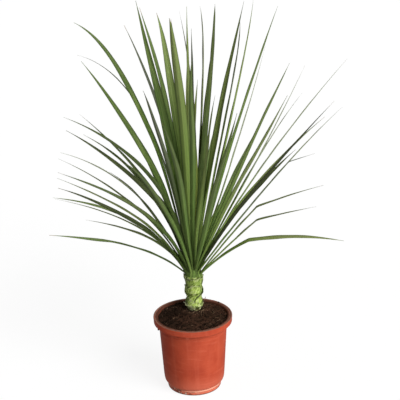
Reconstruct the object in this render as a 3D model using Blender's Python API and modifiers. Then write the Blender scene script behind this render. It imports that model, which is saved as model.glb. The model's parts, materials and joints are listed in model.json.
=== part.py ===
"""Potted cordyline: a head of sword leaves on a short stem, in a plastic nursery pot filled with soil.

Metres, +Z up. The origin is the middle of the pot's underside, on the surface that it stands on.
The front of the plant faces -Y.
"""
import math

import bmesh
import bpy
import numpy as np

# Driving dimensions: the pot
POT_HEIGHT = 0.165
RIM_RADIUS = 0.085
RIM_LIP_WIDTH = 0.0095
RIM_BEVEL = 0.0008
LIP_INNER_BEVEL = 0.0014
SKIRT_HEIGHT = 0.013
SKIRT_THICKNESS = 0.0018
SKIRT_TAPER = 0.0010
SKIRT_BEVEL = 0.0006
SHOULDER_RADIUS = 0.0735
SHOULDER_HEIGHT = 0.150
WAIST_RADIUS = 0.0655
WAIST_HEIGHT = 0.018
FOOT_RADIUS = 0.058
FOOT_HEIGHT = 0.008
FOOT_TAPER = 0.0010
WALL = 0.0018
WALL_EASE = 0.0004
FLOOR = 0.0022
CHANNEL_INNER_RADIUS = 0.0295
CHANNEL_OUTER_RADIUS = 0.0485
CHANNEL_DEPTH = 0.003
CHANNEL_SLOPE = 0.0025
DRAIN_HOLES = 8
DRAIN_HOLE_RADIUS = 0.0045
DRAIN_HOLE_SIDES = 12
POT_STEPS = 48

# Driving dimensions: soil and stem
FIT_GAP = 0.0003
SOIL_BELOW_RIM = 0.006
SOIL_TILT = 0.004
SOIL_MOUND = 0.007
SOIL_MOUND_RADIUS = 0.026
SOIL_LUMPS = 0.0010
SOIL_RINGS = 10
SOIL_FOOT_CLEARANCE = 0.0014
STEM_X = 0.004
STEM_Y = 0.034
STEM_FOOT_HEIGHT = 0.122
STEM_TOP_HEIGHT = 0.244
STEM_BURIED_RADIUS = 0.0150
STEM_HOLE_SIDES = 40
STEM_PLAIN_HEIGHT = 0.1685
STEM_SHAPED_HEIGHT = 0.1760
STEM_RINGS = 25
STEM_STEPS = 36
SHIELD_LENGTH = 0.020
SHIELD_EDGE = 0.0004

# The trimmed leaf bases that clothe the stem like shields. Each row: compass turn of its middle in
# degrees, height of its top edge there in millimetres, how far that edge rises per quarter turn,
# half its width in degrees, and its thickness in tenths of a millimetre
SHIELDS = [
    (315, 197.3, 23, 52, 24), (225, 210.5, 22, 52, 20), (225, 189.0, -32, 44, 17), (292, 181.0, 15, 40, 16),
    (290, 238.5, 0, 60, 13), (200, 240.0, 3, 42, 14), (112, 237.0, 12, 55, 16), (20, 233.0, 18, 50, 15),
    (45, 219.0, 22, 52, 19), (140, 216.0, 21, 52, 19), (85, 199.0, 22, 50, 21), (5, 184.0, 20, 40, 16),
    (165, 186.0, -18, 46, 17), (110, 180.0, 16, 44, 16), (50, 178.0, -12, 44, 15),
]

# Two dried leaf bases that stand off the foot of the stem: compass turn of the root, height of the
# root, reach outwards and upwards, and width
DRY_BASES = [(188.0, 0.1735, 0.010, 0.008, 0.007), (352.0, 0.1720, 0.012, 0.020, 0.009)]
DRY_BASE_THICKNESS = 0.0012
DRY_BASE_ROOT_RADIUS = 0.0125

# Driving dimensions: the leaves
CROWN = np.array([STEM_X, STEM_Y, 0.250])
CROWN_RADIUS = 0.0195
CROWN_WAIST_HEIGHT = 0.262
CROWN_WAIST_RADIUS = 0.0150
CROWN_TOP_RADIUS = 0.0095
CROWN_STEPS = 24
HEART_LEAN = 9.0
HEART_BASE_HEIGHT = 0.2793
HEART_BASE_RADIUS = 0.0050
HEART_TOP_HEIGHT = 0.296
HEART_STEPS = 16
WIDEST_LEAF = 0.0150
NARROWEST_LEAF = 0.0012
SHORT_LEAF_WIDTH = 0.72
LEAF_THICKNESS = 0.0008
SUNK_ROOT = 0.006
HIDDEN_WIDTH = 80

# Roots on the crown: radius and height for an upright leaf, and for one that leans right out
UPRIGHT_ROOT = (0.010, 0.273)
LEANING_ROOT = (0.019, 0.250)

# The blade's outline: its width at the root as a share of the widest, where it has swollen to that,
# where it starts to taper, and how late the taper comes
ROOT_WIDTH = 0.60
FULL_WIDTH_PLACE = 0.40
TAPER_PLACE = 0.42
TAPER_POWER = 1.9
GUTTER_AT_ROOT = 0.55
GUTTER_AT_TIP = 0.20

# How much of a folded leaf's line is its two straight stretches, and how high their corner stands
# for each percent of arch
FOLD_SHARE = 0.8
FOLD_RISE = 0.011

# Young leaves in the heart of the crown
YOUNG_LEAVES = 6
YOUNG_WIDTH = 85
YOUNG_LEAN = (1.5, 6.5)
YOUNG_LENGTH = (0.36, 0.52)
YOUNG_ROOT_RADIUS = 0.0025
YOUNG_ROOT_HEIGHT = 0.2833
FIRST_YOUNG_TURN = 40.0
GOLDEN_ANGLE = 137.508

# The viewer's eye that the tips below were read from, level with the top of the leaves
EYE = np.array([0.0, -1.98, 1.12])

# Leaves that make the head's outline. Each row gives its tip as the viewer sees it, on an upright
# board through the stem: across and height. Then come how far the tip stands in front of that
# board, the arch as percent of the leaf's length, how far its face turns to the front, in degrees,
# its width as percent of the widest, and the place of the knee in its curve, as percent of its
# length. Lengths are in millimetres.
OUTLINE_LEAVES = [
    (-223, 793, 20, 8.1, 56, 83, 80), (-221, 728, -40, 13.4, -19, 58, 79),
    (-213, 715, 95, 5.3, 77, 95, 50), (-124, 785, -60, 5.3, 38, 56, 61),
    (-99, 833, -10, 1.3, 78, 118, 52), (-92, 819, -70, 3.3, -5, 116, 57),
    (-59, 808, -135, 5.2, 10, 119, 73), (-92, 652, 245, 3, -14, 60, 78),
    (-34, 797, 180, 4.8, -12, 118, 81), (-31, 795, -125, 3.9, -30, 96, 70),
    (-14, 810, -20, 5.8, -65, 86, 63), (1, 819, 105, 1.1, 47, 75, 56), (9, 775, -220, 1.6, 45, 75, 57),
    (27, 819, -5, -1.9, -2, 88, 89), (57, 823, 115, -1.4, 33, 108, 87), (54, 639, 270, 4.2, -75, 77, 59),
    (114, 826, 55, 1.1, 68, 118, 46), (105, 793, -145, -3.5, -38, 62, 90),
    (133, 833, -75, -1.6, -34, 83, 76), (181, 815, 50, 0.9, -15, 74, 69),
    (156, 736, -270, -2.1, -78, 55, 50), (98, 600, 330, 0.5, -9, 80, 41),
    (205, 701, 205, 0.2, 14, 100, 61), (236, 695, -135, -1.2, -39, 57, 63),
    (201, 634, 255, 0.6, -8, 101, 52), (231, 638, -270, 3.2, -49, 55, 69),
    (139, 566, -315, 3, 54, 98, 49), (321, 706, 15, 2.8, -12, 63, 48), (297, 620, 180, 2.3, -12, 99, 42),
    (314, 607, -10, 2, -22, 57, 67), (278, 587, -135, 5.9, 10, 103, 47),
    (219, 519, -310, 5.2, -2, 94, 44), (324, 310, 115, 14.4, 9, 104, 34),
    (-256, 601, 125, 12.8, -22, 110, 51), (-223, 606, -260, 10.4, -15, 102, 40),
    (-253, 573, 105, 10.1, 66, 83, 43), (-218, 563, -150, 12.8, -1, 94, 51),
    (-268, 526, 10, 12.1, 11, 61, 60), (-273, 513, -35, 9.4, -48, 76, 43),
    (-276, 483, 165, 9.9, -29, 120, 34), (-279, 471, 5, 9.4, -41, 109, 36),
    (-278, 449, 170, 7.2, 71, 72, 48), (-290, 428, 140, 10.7, 14, 118, 47),
    (-286, 425, -20, 11.6, -24, 97, 36), (-224, 376, -165, 11.1, -55, 107, 28),
    (-304, 344, 80, 7.9, 25, 65, 36), (-169, 481, -120, 8.4, 16, 53, 60),
]
# Three leaves on the right are folded over at their knee
FOLDED_LEAVES = [
    (258, 509, 210, 6, 22, 62, 85), (278, 439, 120, 11.8, 9, 86, 59), (263, 392, 165, 10.1, 15, 91, 59),
]
# Leaves that lie in line with one of the outline as the viewer sees them, in front of it or behind.
# Each row: the number of that leaf, how much of its length they cover, in percent, and how far
# their tip stands in front of the stem, in millimetres
LEAVES_IN_LINE = [
    (4, 84, -380), (11, 54, -380), (35, 66, -380), (24, 48, -380), (2, 78, -380), (14, 54, -300),
    (36, 72, 310), (4, 84, -260), (7, 48, -380), (2, 78, -140), (8, 90, -340), (16, 66, -380),
    (8, 60, -380), (15, 54, -380), (7, 72, -380), (6, 90, -220), (3, 54, 310), (8, 78, -380),
    (12, 84, 270), (2, 66, -220), (36, 54, -380),
]

# Places along a leaf, from its root at 0 to its tip at 1, where it has a cross-section
LEAF_STATIONS = (0.0, 0.09, 0.22, 0.37, 0.52, 0.68, 0.85, 1.0)


def clear_scene():
    """Remove every object that the file opens with."""
    for item in list(bpy.data.objects):
        bpy.data.objects.remove(item, do_unlink=True)


def new_collection(name):
    """A collection in the scene."""
    collection = bpy.data.collections.new(name)
    bpy.context.scene.collection.children.link(collection)
    return collection


def new_material(name, colour, roughness):
    """A plain Principled material, with nothing metallic."""
    material = bpy.data.materials.new(name)
    material.use_nodes = True
    shader = material.node_tree.nodes["Principled BSDF"]
    shader.inputs["Base Color"].default_value = (*colour, 1.0)
    shader.inputs["Roughness"].default_value = roughness
    shader.inputs["Metallic"].default_value = 0.0
    return material


def mesh_object(name, corners, faces, collection, edges=()):
    """An object from lists of corners, edges and faces."""
    mesh = bpy.data.meshes.new(name)
    mesh.from_pydata([tuple(map(float, corner)) for corner in corners], list(edges), list(faces))
    mesh.update()
    item = bpy.data.objects.new(name, mesh)
    collection.objects.link(item)
    return item


def turned(name, profile, steps, collection):
    """A profile of (radius, height) pairs, turned round Z with a Screw modifier."""
    corners = [(radius, 0.0, height) for radius, height in profile]
    edges = [(i, i + 1) for i in range(len(corners) - 1)]
    item = mesh_object(name, corners, [], collection, edges)
    screw = item.modifiers.new("Turn", "SCREW")
    screw.steps = steps
    screw.render_steps = steps
    screw.use_merge_vertices = True
    screw.merge_threshold = 0.00001
    return item


def baked(item):
    """Apply an object's modifiers, and give the object back with its final mesh."""
    bpy.context.view_layer.update()
    depsgraph = bpy.context.evaluated_depsgraph_get()
    mesh = bpy.data.meshes.new_from_object(item.evaluated_get(depsgraph))
    item.modifiers.clear()
    item.data = mesh
    return item


def corners_of(item):
    """The corners of an object's mesh, as an array of x, y and z."""
    places = np.empty(len(item.data.vertices) * 3)
    item.data.vertices.foreach_get("co", places)
    return places.reshape(-1, 3)


def set_corners(item, places):
    """Move the corners of an object's mesh."""
    item.data.vertices.foreach_set("co", np.ascontiguousarray(places, dtype=float).ravel())
    item.data.update()


def finish(item, material, sharp_degrees):
    """Give an object its material, and shade it smooth except at sharp edges."""
    item.data.materials.clear()
    item.data.materials.append(material)
    item.data.shade_smooth()
    item.data.set_sharp_from_angle(angle=math.radians(sharp_degrees))


def smooth_step(value, low, high):
    """0 below low, 1 above high, and an even S between them."""
    share = np.clip((value - low) / (high - low), 0.0, 1.0)
    return share * share * (3.0 - 2.0 * share)


# The inside of the pot, from the middle of its floor up to its lip: radius and height
POT_INSIDE = [
    (0.0, FLOOR),
    (CHANNEL_INNER_RADIUS, FLOOR),
    (CHANNEL_INNER_RADIUS + CHANNEL_SLOPE, FLOOR + CHANNEL_DEPTH),
    (CHANNEL_OUTER_RADIUS - CHANNEL_SLOPE, FLOOR + CHANNEL_DEPTH),
    (CHANNEL_OUTER_RADIUS, FLOOR),
    (FOOT_RADIUS - WALL - WALL_EASE, FLOOR),
    (FOOT_RADIUS - WALL - 2 * WALL_EASE, FOOT_HEIGHT + 2 * WALL_EASE),
    (WAIST_RADIUS - WALL, WAIST_HEIGHT + 2 * WALL_EASE),
    (SHOULDER_RADIUS - WALL, SHOULDER_HEIGHT),
    (RIM_RADIUS - RIM_LIP_WIDTH, POT_HEIGHT - LIP_INNER_BEVEL),
    (RIM_RADIUS - RIM_LIP_WIDTH + RIM_BEVEL, POT_HEIGHT),
]


def pot_inner_radius(height):
    """Radius of the pot's inner wall at a height."""
    wall = POT_INSIDE[7:10]
    return np.interp(height, [point[1] for point in wall], [point[0] for point in wall])


def make_pot(collection, cutters, material):
    """The moulded pot: a lip with a hanging skirt, a tapered wall, a foot and a drain channel."""
    skirt_foot = POT_HEIGHT - SKIRT_HEIGHT
    underlip = POT_HEIGHT - WALL
    outside = [
        (RIM_RADIUS - RIM_BEVEL, POT_HEIGHT),
        (RIM_RADIUS, POT_HEIGHT - RIM_BEVEL),
        (RIM_RADIUS - SKIRT_TAPER, skirt_foot + SKIRT_BEVEL),
        (RIM_RADIUS - SKIRT_TAPER - SKIRT_THICKNESS / 2.0, skirt_foot),
        (RIM_RADIUS - SKIRT_TAPER - SKIRT_THICKNESS, skirt_foot + SKIRT_BEVEL),
        (RIM_RADIUS - SKIRT_THICKNESS, underlip),
        (RIM_RADIUS - RIM_LIP_WIDTH + WALL, underlip),
        (SHOULDER_RADIUS, SHOULDER_HEIGHT),
        (WAIST_RADIUS, WAIST_HEIGHT),
        (FOOT_RADIUS - FOOT_TAPER, FOOT_HEIGHT),
        (FOOT_RADIUS, 0.0),
        (CHANNEL_OUTER_RADIUS, 0.0),
        (CHANNEL_OUTER_RADIUS - CHANNEL_SLOPE, CHANNEL_DEPTH),
        (CHANNEL_INNER_RADIUS + CHANNEL_SLOPE, CHANNEL_DEPTH),
        (CHANNEL_INNER_RADIUS, 0.0),
        (0.0, 0.0),
    ]
    pot = turned("pot", POT_INSIDE + outside, POT_STEPS, collection)
    channel_middle = (CHANNEL_INNER_RADIUS + CHANNEL_OUTER_RADIUS) / 2.0
    for number in range(DRAIN_HOLES):
        turn = 2.0 * math.pi * (number + 0.5) / DRAIN_HOLES
        place = (channel_middle * math.cos(turn), channel_middle * math.sin(turn), FLOOR)
        bpy.ops.mesh.primitive_cylinder_add(
            vertices=DRAIN_HOLE_SIDES, radius=DRAIN_HOLE_RADIUS, depth=8.0 * FLOOR, location=place)
        cutter = bpy.context.object
        cutter.name = f"drain_hole_{number + 1}"
        move_to(cutter, cutters)
    cut = pot.modifiers.new("Drain holes", "BOOLEAN")
    cut.operation = "DIFFERENCE"
    cut.operand_type = "COLLECTION"
    cut.collection = cutters
    baked(pot)
    finish(pot, material, 35)
    return pot


def move_to(item, collection):
    """Put a new cutter or piece in its own collection."""
    for other in list(item.users_collection):
        other.objects.unlink(item)
    collection.objects.link(item)
    if collection.name == "cutters":
        item.hide_render = True
        item.display_type = "WIRE"


def soil_height(x, y):
    """Height of the soil: it rises to the back, is banked up round the stem, and is lumpy."""
    from_stem = np.hypot(x - STEM_X, y - STEM_Y)
    lumps = np.sin(310 * x + 1.3) * np.cos(270 * y) + 0.25 * np.sin(520 * y - 410 * x)
    level = POT_HEIGHT - SOIL_BELOW_RIM + SOIL_TILT * y / SHOULDER_RADIUS
    bank = SOIL_MOUND * np.exp(-(from_stem / SOIL_MOUND_RADIUS) ** 2)
    return level + bank + SOIL_LUMPS * lumps


def make_soil(collection, cutters, material):
    """The soil: a turned plug that fills the pot, its top raised by a formula, with the stem's hole."""
    floor = FLOOR + CHANNEL_DEPTH + FIT_GAP
    level = POT_HEIGHT - SOIL_BELOW_RIM
    edge = SHOULDER_RADIUS - WALL
    foot = FOOT_RADIUS - WALL - SOIL_FOOT_CLEARANCE
    profile = [(edge * share, level) for share in np.linspace(0.0, 1.0, SOIL_RINGS)]
    profile += [(edge, SHOULDER_HEIGHT)]
    profile += [(WAIST_RADIUS - WALL - FIT_GAP, WAIST_HEIGHT + SOIL_FOOT_CLEARANCE)]
    profile += [(foot, FOOT_HEIGHT + 2 * WALL_EASE), (foot, floor), (0.0, floor)]
    soil = baked(turned("soil", profile, POT_STEPS, collection))
    places = corners_of(soil)
    radius = np.hypot(places[:, 0], places[:, 1])
    top = places[:, 2] > level - FIT_GAP
    on_wall = radius > edge - FIT_GAP
    wider = (pot_inner_radius(level) - FIT_GAP) / edge
    places[top, :2] *= wider
    places[top, 2] = soil_height(places[top, 0], places[top, 1])
    edges = places[on_wall]
    snug = (pot_inner_radius(edges[:, 2]) - FIT_GAP) / np.hypot(edges[:, 0], edges[:, 1])
    places[on_wall, :2] *= snug[:, None]
    set_corners(soil, places)
    depth = POT_HEIGHT - STEM_FOOT_HEIGHT + 2.0 * SOIL_MOUND
    middle = STEM_FOOT_HEIGHT - FIT_GAP + depth / 2.0
    bpy.ops.mesh.primitive_cylinder_add(
        vertices=STEM_HOLE_SIDES, radius=STEM_BURIED_RADIUS + 2.0 * FIT_GAP, depth=depth,
        location=(STEM_X, STEM_Y, middle))
    cutter = bpy.context.object
    cutter.name = "stem_hole"
    move_to(cutter, cutters)
    cut = soil.modifiers.new("Stem hole", "BOOLEAN")
    cut.operation = "DIFFERENCE"
    cut.object = cutter
    baked(soil)
    finish(soil, material, 40)
    return soil


def stem_core_radius(height):
    """Radius of the stem without its leaf bases: waisted, and plain where it is buried."""
    waist = [0.1840, 0.1915, 0.1975, 0.2035, 0.2150, 0.2350]
    heights = [STEM_PLAIN_HEIGHT, STEM_SHAPED_HEIGHT, *waist, STEM_TOP_HEIGHT]
    radii = [STEM_BURIED_RADIUS, 0.0186, 0.0184, 0.0165, 0.0178, 0.0190, 0.0182, 0.0188, 0.0190]
    return np.interp(height, heights, radii)


def shield_relief(turn, height):
    """How far the leaf bases stand off the stem.

    A shield's top edge is a slanting line over the turned angle, and sags away from its middle. Below
    it the shield thins evenly over its length, and its flanks fade out in the last part of its width.
    At each place the thickest shield is the one that shows.
    """
    relief = np.zeros_like(height)
    for middle, top, rise, half_width, thickness in SHIELDS:
        aside = (np.degrees(turn) - middle + 180.0) % 360.0 - 180.0
        below = (top + rise * aside / 90.0 - 2.0 * (aside / half_width) ** 2) / 1000.0 - height
        flank = 1.0 - smooth_step(np.abs(aside), 0.85 * half_width, half_width)
        step = smooth_step(below, -SHIELD_EDGE, SHIELD_EDGE)
        relief = np.maximum(relief, thickness / 10000.0 * (1.0 - below / SHIELD_LENGTH) * step * flank)
    return relief


def make_stem(collection, material):
    """The stem: a column with the relief of its leaf bases, down into its hole in the soil."""
    rings = [STEM_FOOT_HEIGHT] + list(np.linspace(STEM_PLAIN_HEIGHT, STEM_TOP_HEIGHT, STEM_RINGS))
    profile = [(0.0, STEM_TOP_HEIGHT)] + [(STEM_BURIED_RADIUS, height) for height in reversed(rings)]
    profile += [(0.0, STEM_FOOT_HEIGHT)]
    stem = baked(turned("stem", profile, STEM_STEPS, collection))
    places = corners_of(stem)
    turn = np.arctan2(places[:, 1], places[:, 0])
    height = places[:, 2]
    on_side = np.hypot(places[:, 0], places[:, 1]) > STEM_BURIED_RADIUS / 2.0
    fade = smooth_step(height, STEM_PLAIN_HEIGHT, STEM_SHAPED_HEIGHT)
    radius = stem_core_radius(height) + fade * shield_relief(turn, height)
    places[on_side, 0] = (radius * np.cos(turn))[on_side]
    places[on_side, 1] = (radius * np.sin(turn))[on_side]
    places[:, 0] += STEM_X
    places[:, 1] += STEM_Y
    set_corners(stem, places)
    bases = new_collection("dry bases")
    for number, base in enumerate(DRY_BASES):
        dry_base(f"dry_base_{number + 1}", base, bases)
    fuse(stem, bases)
    finish(stem, material, 30)
    return stem


def dry_base(name, base, collection):
    """A dried leaf base: a short curved tongue, broad at its root and pointed at its tip."""
    turn, root_height, reach, rise, width = base
    turn = math.radians(turn)
    outward = np.array([math.cos(turn), math.sin(turn), 0.0])
    side = np.array([-math.sin(turn), math.cos(turn), 0.0])
    root = np.array([STEM_X, STEM_Y, root_height]) + DRY_BASE_ROOT_RADIUS * outward
    share = np.linspace(0.0, 1.0, 5)[:, None]
    line = root + outward * reach * share + np.array([0.0, 0.0, 1.0]) * rise * share ** 1.5
    half = width / 2.0 * (1.0 - 0.85 * share ** 2)
    back = outward * DRY_BASE_THICKNESS
    curl = outward * half * 0.4
    edges = [line - side * half - curl, line, line + side * half - curl]
    rings = np.stack(edges + [corner + back for corner in reversed(edges)], axis=1)
    return loft(name, rings, collection)


def seen_tip(across, height, in_front):
    """The tip on the viewer's line of sight through its place on the board."""
    on_board = np.array([STEM_X + across / 1000.0, STEM_Y, height / 1000.0])
    return EYE + (on_board - EYE) * (1.0 - in_front / 1000.0 / (STEM_Y - EYE[1]))


def leaned_tip(turn, lean, length):
    """The tip of a leaf that leans out by an angle, towards a compass turn, both in degrees."""
    turn = math.radians(turn)
    lean = math.radians(lean)
    away = np.array([math.sin(lean) * math.cos(turn), math.sin(lean) * math.sin(turn), math.cos(lean)])
    return CROWN + length * away


def directions(tip):
    """A leaf's compass turn in radians, its lean from upright in degrees, and its way out and aside."""
    outward = tip - CROWN
    turn = math.atan2(outward[1], outward[0])
    lean = math.degrees(math.atan2(math.hypot(outward[0], outward[1]), outward[2]))
    radial = np.array([math.cos(turn), math.sin(turn), 0.0])
    side = np.array([-math.sin(turn), math.cos(turn), 0.0])
    return turn, lean, radial, side


def usual_knee(tip):
    """The knee of an untouched leaf: far along an upright leaf, nearer the stem where it leans out."""
    return 68.0 - 33.0 * smooth_step(directions(tip)[1], 20.0, 85.0)


def leaf_plan():
    """Every leaf of the head: its tip, arch, turn to the front, width, knee and whether it is folded."""
    plan = [(seen_tip(*row[:3]), *row[3:], False) for row in OUTLINE_LEAVES]
    plan += [(seen_tip(*row[:3]), *row[3:], True) for row in FOLDED_LEAVES]
    for number, share, in_front in LEAVES_IN_LINE:
        tip, arch, show, width, knee_place, folded = plan[number]
        seen = leaf_line(tip, arch, knee_place, folded, [share / 100.0])[0][0]
        hidden = EYE + (seen - EYE) * (STEM_Y - in_front / 1000.0 - EYE[1]) / (seen[1] - EYE[1])
        plan.append((hidden, 2.0 + directions(hidden)[1] / 9.0, 0.0, HIDDEN_WIDTH, usual_knee(hidden), False))
    for number in range(YOUNG_LEAVES):
        share = (number + 0.5) / YOUNG_LEAVES
        lean = np.interp(share, (0.0, 1.0), YOUNG_LEAN)
        length = np.interp(share, (0.0, 1.0), YOUNG_LENGTH)
        tip = leaned_tip(FIRST_YOUNG_TURN + GOLDEN_ANGLE * number, lean, length)
        plan.append((tip, 1.0, 0.0, YOUNG_WIDTH, usual_knee(tip), False))
    return plan


def leaf_line(tip, arch, knee_place, folded, stations):
    """The middle line of a leaf, and the straight distance from its root to its tip.

    The line is a quadratic curve in the upright plane through root and tip: (1-s)^2 of the root,
    2s(1-s) of the knee and s^2 of the tip. A folded leaf is mostly two straight stretches that meet
    at the knee.
    """
    turn, lean, radial, side = directions(tip)
    young = lean < HEART_LEAN
    if young:
        root = np.array([STEM_X, STEM_Y, YOUNG_ROOT_HEIGHT]) + YOUNG_ROOT_RADIUS * radial
    else:
        outward = np.interp(smooth_step(lean, 8.0, 70.0), (0.0, 1.0), (UPRIGHT_ROOT[0], LEANING_ROOT[0]))
        height = np.interp(smooth_step(lean, 8.0, 60.0), (0.0, 1.0), (UPRIGHT_ROOT[1], LEANING_ROOT[1]))
        root = np.array([STEM_X, STEM_Y, height]) + outward * radial
    chord = tip - root
    length = np.linalg.norm(chord)
    upward = np.cross(chord, side)
    upward /= np.linalg.norm(upward)
    place = knee_place / 100.0
    knee = root + place * chord + 2.0 * arch / 100.0 * length * upward
    if not young:
        start = knee - root
        root = root - SUNK_ROOT * start / np.linalg.norm(start)
    share = np.asarray(stations)[:, None]
    line = (1 - share) ** 2 * root + 2 * share * (1 - share) * knee + share ** 2 * tip
    if folded:
        bend = root + place * chord + FOLD_RISE * arch * length * upward
        below = root + (bend - root) * share / place
        above = bend + (tip - bend) * (share - place) / (1 - place)
        line = (1.0 - FOLD_SHARE) * line + FOLD_SHARE * np.where(share < place, below, above)
    return line, length


def leaf_shape(tip, arch, show, width, knee_place, folded):
    """The middle line of a leaf, its two edges, and the way its upper face looks.

    The blade is broadest before its middle, has a gutter along it, and turns about its line towards
    the tip.
    """
    line, length = leaf_line(tip, arch, knee_place, folded, LEAF_STATIONS)
    turn, lean, radial, side = directions(tip)
    share = np.asarray(LEAF_STATIONS)[:, None]
    along = np.gradient(line, axis=0)
    along /= np.linalg.norm(along, axis=1)[:, None]
    face = np.cross(along, side)
    towards_front = 1.0 if math.cos(turn) > 0.0 else -1.0
    twist = math.radians(show * towards_front) * smooth_step(share, 0.0, 0.6)
    across = side * np.cos(twist) + face * np.sin(twist)
    upper = face * np.cos(twist) - side * np.sin(twist)
    long_leaf = smooth_step(length, 0.20, 0.58)
    widest = WIDEST_LEAF * width / 100.0 * (SHORT_LEAF_WIDTH + (1.0 - SHORT_LEAF_WIDTH) * long_leaf)
    swell = ROOT_WIDTH + (1.0 - ROOT_WIDTH) * smooth_step(share, 0.0, FULL_WIDTH_PLACE)
    taper = 1.0 - np.clip((share - TAPER_PLACE) / (1.0 - TAPER_PLACE), 0.0, 1.0) ** TAPER_POWER
    half = np.maximum(widest * swell * taper, NARROWEST_LEAF) / 2.0
    gutter = half * (GUTTER_AT_ROOT + (GUTTER_AT_TIP - GUTTER_AT_ROOT) * share)
    left = line - across * half + upper * gutter
    right = line + across * half + upper * gutter
    return line, left, right, upper


def leaf_blade(name, shape, collection):
    """One leaf as a closed loft: at each station a shallow V, as thick all along as LEAF_THICKNESS."""
    line, left, right, upper = shape
    under = -LEAF_THICKNESS * upper
    rings = np.stack([left, line, right, right + under, line + under, left + under], axis=1)
    return loft(name, rings, collection)


def loft(name, rings, collection):
    """A closed blade through rings of six corners: left, middle and right, then back underneath."""
    count, sides = rings.shape[:2]
    faces = []
    for ring in range(count - 1):
        for corner in range(sides):
            here = ring * sides + corner
            beside = ring * sides + (corner + 1) % sides
            faces.append((here, beside, beside + sides, here + sides))
    last = (count - 1) * sides
    faces += [(5, 4, 1, 0), (4, 3, 2, 1)]
    faces += [(last, last + 1, last + 4, last + 5), (last + 1, last + 2, last + 3, last + 4)]
    blade = mesh_object(name, rings.reshape(-1, 3), faces, collection)
    tidy = bmesh.new()
    tidy.from_mesh(blade.data)
    bmesh.ops.triangulate(tidy, faces=tidy.faces)
    bmesh.ops.recalc_face_normals(tidy, faces=tidy.faces)
    tidy.to_mesh(blade.data)
    tidy.free()
    return blade


def islands(mesh):
    """The connected pieces of a bmesh, each as a list of its faces."""
    left = set(mesh.faces)
    found = []
    while left:
        island = []
        waiting = [left.pop()]
        while waiting:
            face = waiting.pop()
            island.append(face)
            for side in face.edges:
                for beside in side.link_faces:
                    if beside in left:
                        left.remove(beside)
                        waiting.append(beside)
        found.append(island)
    return found


def keep_outer_skin(item):
    """Drop the loose scraps of a fused object, and the skins of hollows that the union sealed."""
    mesh = bmesh.new()
    mesh.from_mesh(item.data)
    pieces = sorted(islands(mesh), key=len)
    for piece in pieces[:-1]:
        bmesh.ops.delete(mesh, geom=piece, context="FACES")
    mesh.to_mesh(item.data)
    mesh.free()
    print(item.name, "kept its skin and dropped", len(pieces) - 1, "others")


def fuse(base, blades):
    """Join every blade in a collection to a base with one union, and remove the blades."""
    union = base.modifiers.new("Fuse", "BOOLEAN")
    union.operation = "UNION"
    union.operand_type = "COLLECTION"
    union.collection = blades
    union.solver = "MANIFOLD"
    baked(base)
    keep_outer_skin(base)
    for blade in list(blades.objects):
        bpy.data.objects.remove(blade, do_unlink=True)
    bpy.data.collections.remove(blades)


def make_leaves(collection, head_material, heart_material):
    """The head of mature leaves on its crown, and the young leaves in its heart."""
    crown_profile = [
        (0.0, HEART_BASE_HEIGHT - FIT_GAP),
        (CROWN_TOP_RADIUS, HEART_BASE_HEIGHT - FIT_GAP),
        (CROWN_WAIST_RADIUS, CROWN_WAIST_HEIGHT),
        (CROWN_RADIUS, CROWN[2]),
        (CROWN_RADIUS, STEM_TOP_HEIGHT + FIT_GAP),
        (0.0, STEM_TOP_HEIGHT + FIT_GAP),
    ]
    heart_profile = [
        (0.0, HEART_TOP_HEIGHT),
        (0.7 * HEART_BASE_RADIUS, HEART_TOP_HEIGHT - 0.003),
        (HEART_BASE_RADIUS, HEART_BASE_HEIGHT),
        (0.0, HEART_BASE_HEIGHT),
    ]
    head = baked(turned("leaf_head", crown_profile, CROWN_STEPS, collection))
    heart = baked(turned("heart_leaves", heart_profile, HEART_STEPS, collection))
    for item in (head, heart):
        places = corners_of(item)
        set_corners(item, places + np.array([STEM_X, STEM_Y, 0.0]))
    mature = new_collection("mature blades")
    young = new_collection("young blades")
    for number, leaf in enumerate(leaf_plan()):
        lean = directions(leaf[0])[1]
        leaf_blade(f"blade_{number + 1}", leaf_shape(*leaf), young if lean < HEART_LEAN else mature)
    fuse(head, mature)
    fuse(heart, young)
    finish(head, head_material, 30)
    finish(heart, heart_material, 30)
    return head, heart


def build():
    """Make the whole plant in its pot."""
    clear_scene()
    plant = new_collection("potted cordyline")
    cutters = new_collection("cutters")
    pot_plastic = new_material("pot_plastic", (0.50, 0.13, 0.075), 0.42)
    potting_mix = new_material("potting_mix", (0.028, 0.018, 0.012), 0.95)
    stem_bases = new_material("stem_bases", (0.36, 0.44, 0.10), 0.55)
    leaf_green = new_material("leaf_green", (0.075, 0.135, 0.030), 0.45)
    heart_green = new_material("heart_green", (0.15, 0.22, 0.045), 0.45)
    make_pot(plant, cutters, pot_plastic)
    make_soil(plant, cutters, potting_mix)
    make_stem(plant, stem_bases)
    make_leaves(plant, leaf_green, heart_green)


build()
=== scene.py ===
# %% [markdown]
# # A potted cordyline
#
# The object is a young cordyline: about eighty narrow sword leaves on a short stem, in a terracotta-coloured
# nursery pot. Its solids already exist as a CAD model, plain but true in size and place. This lesson
# keeps those sizes and gives every part the surface that the real one has.
#
# The leaves could be copies of one leaf, turned about the stem. Here each leaf is worked out by itself from
# its own tip, because what makes this plant recognisable is the irregular fan that its tips draw.

# %% Load the CAD model
import json
import math

import bpy
import numpy as np
from mathutils import Matrix

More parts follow.
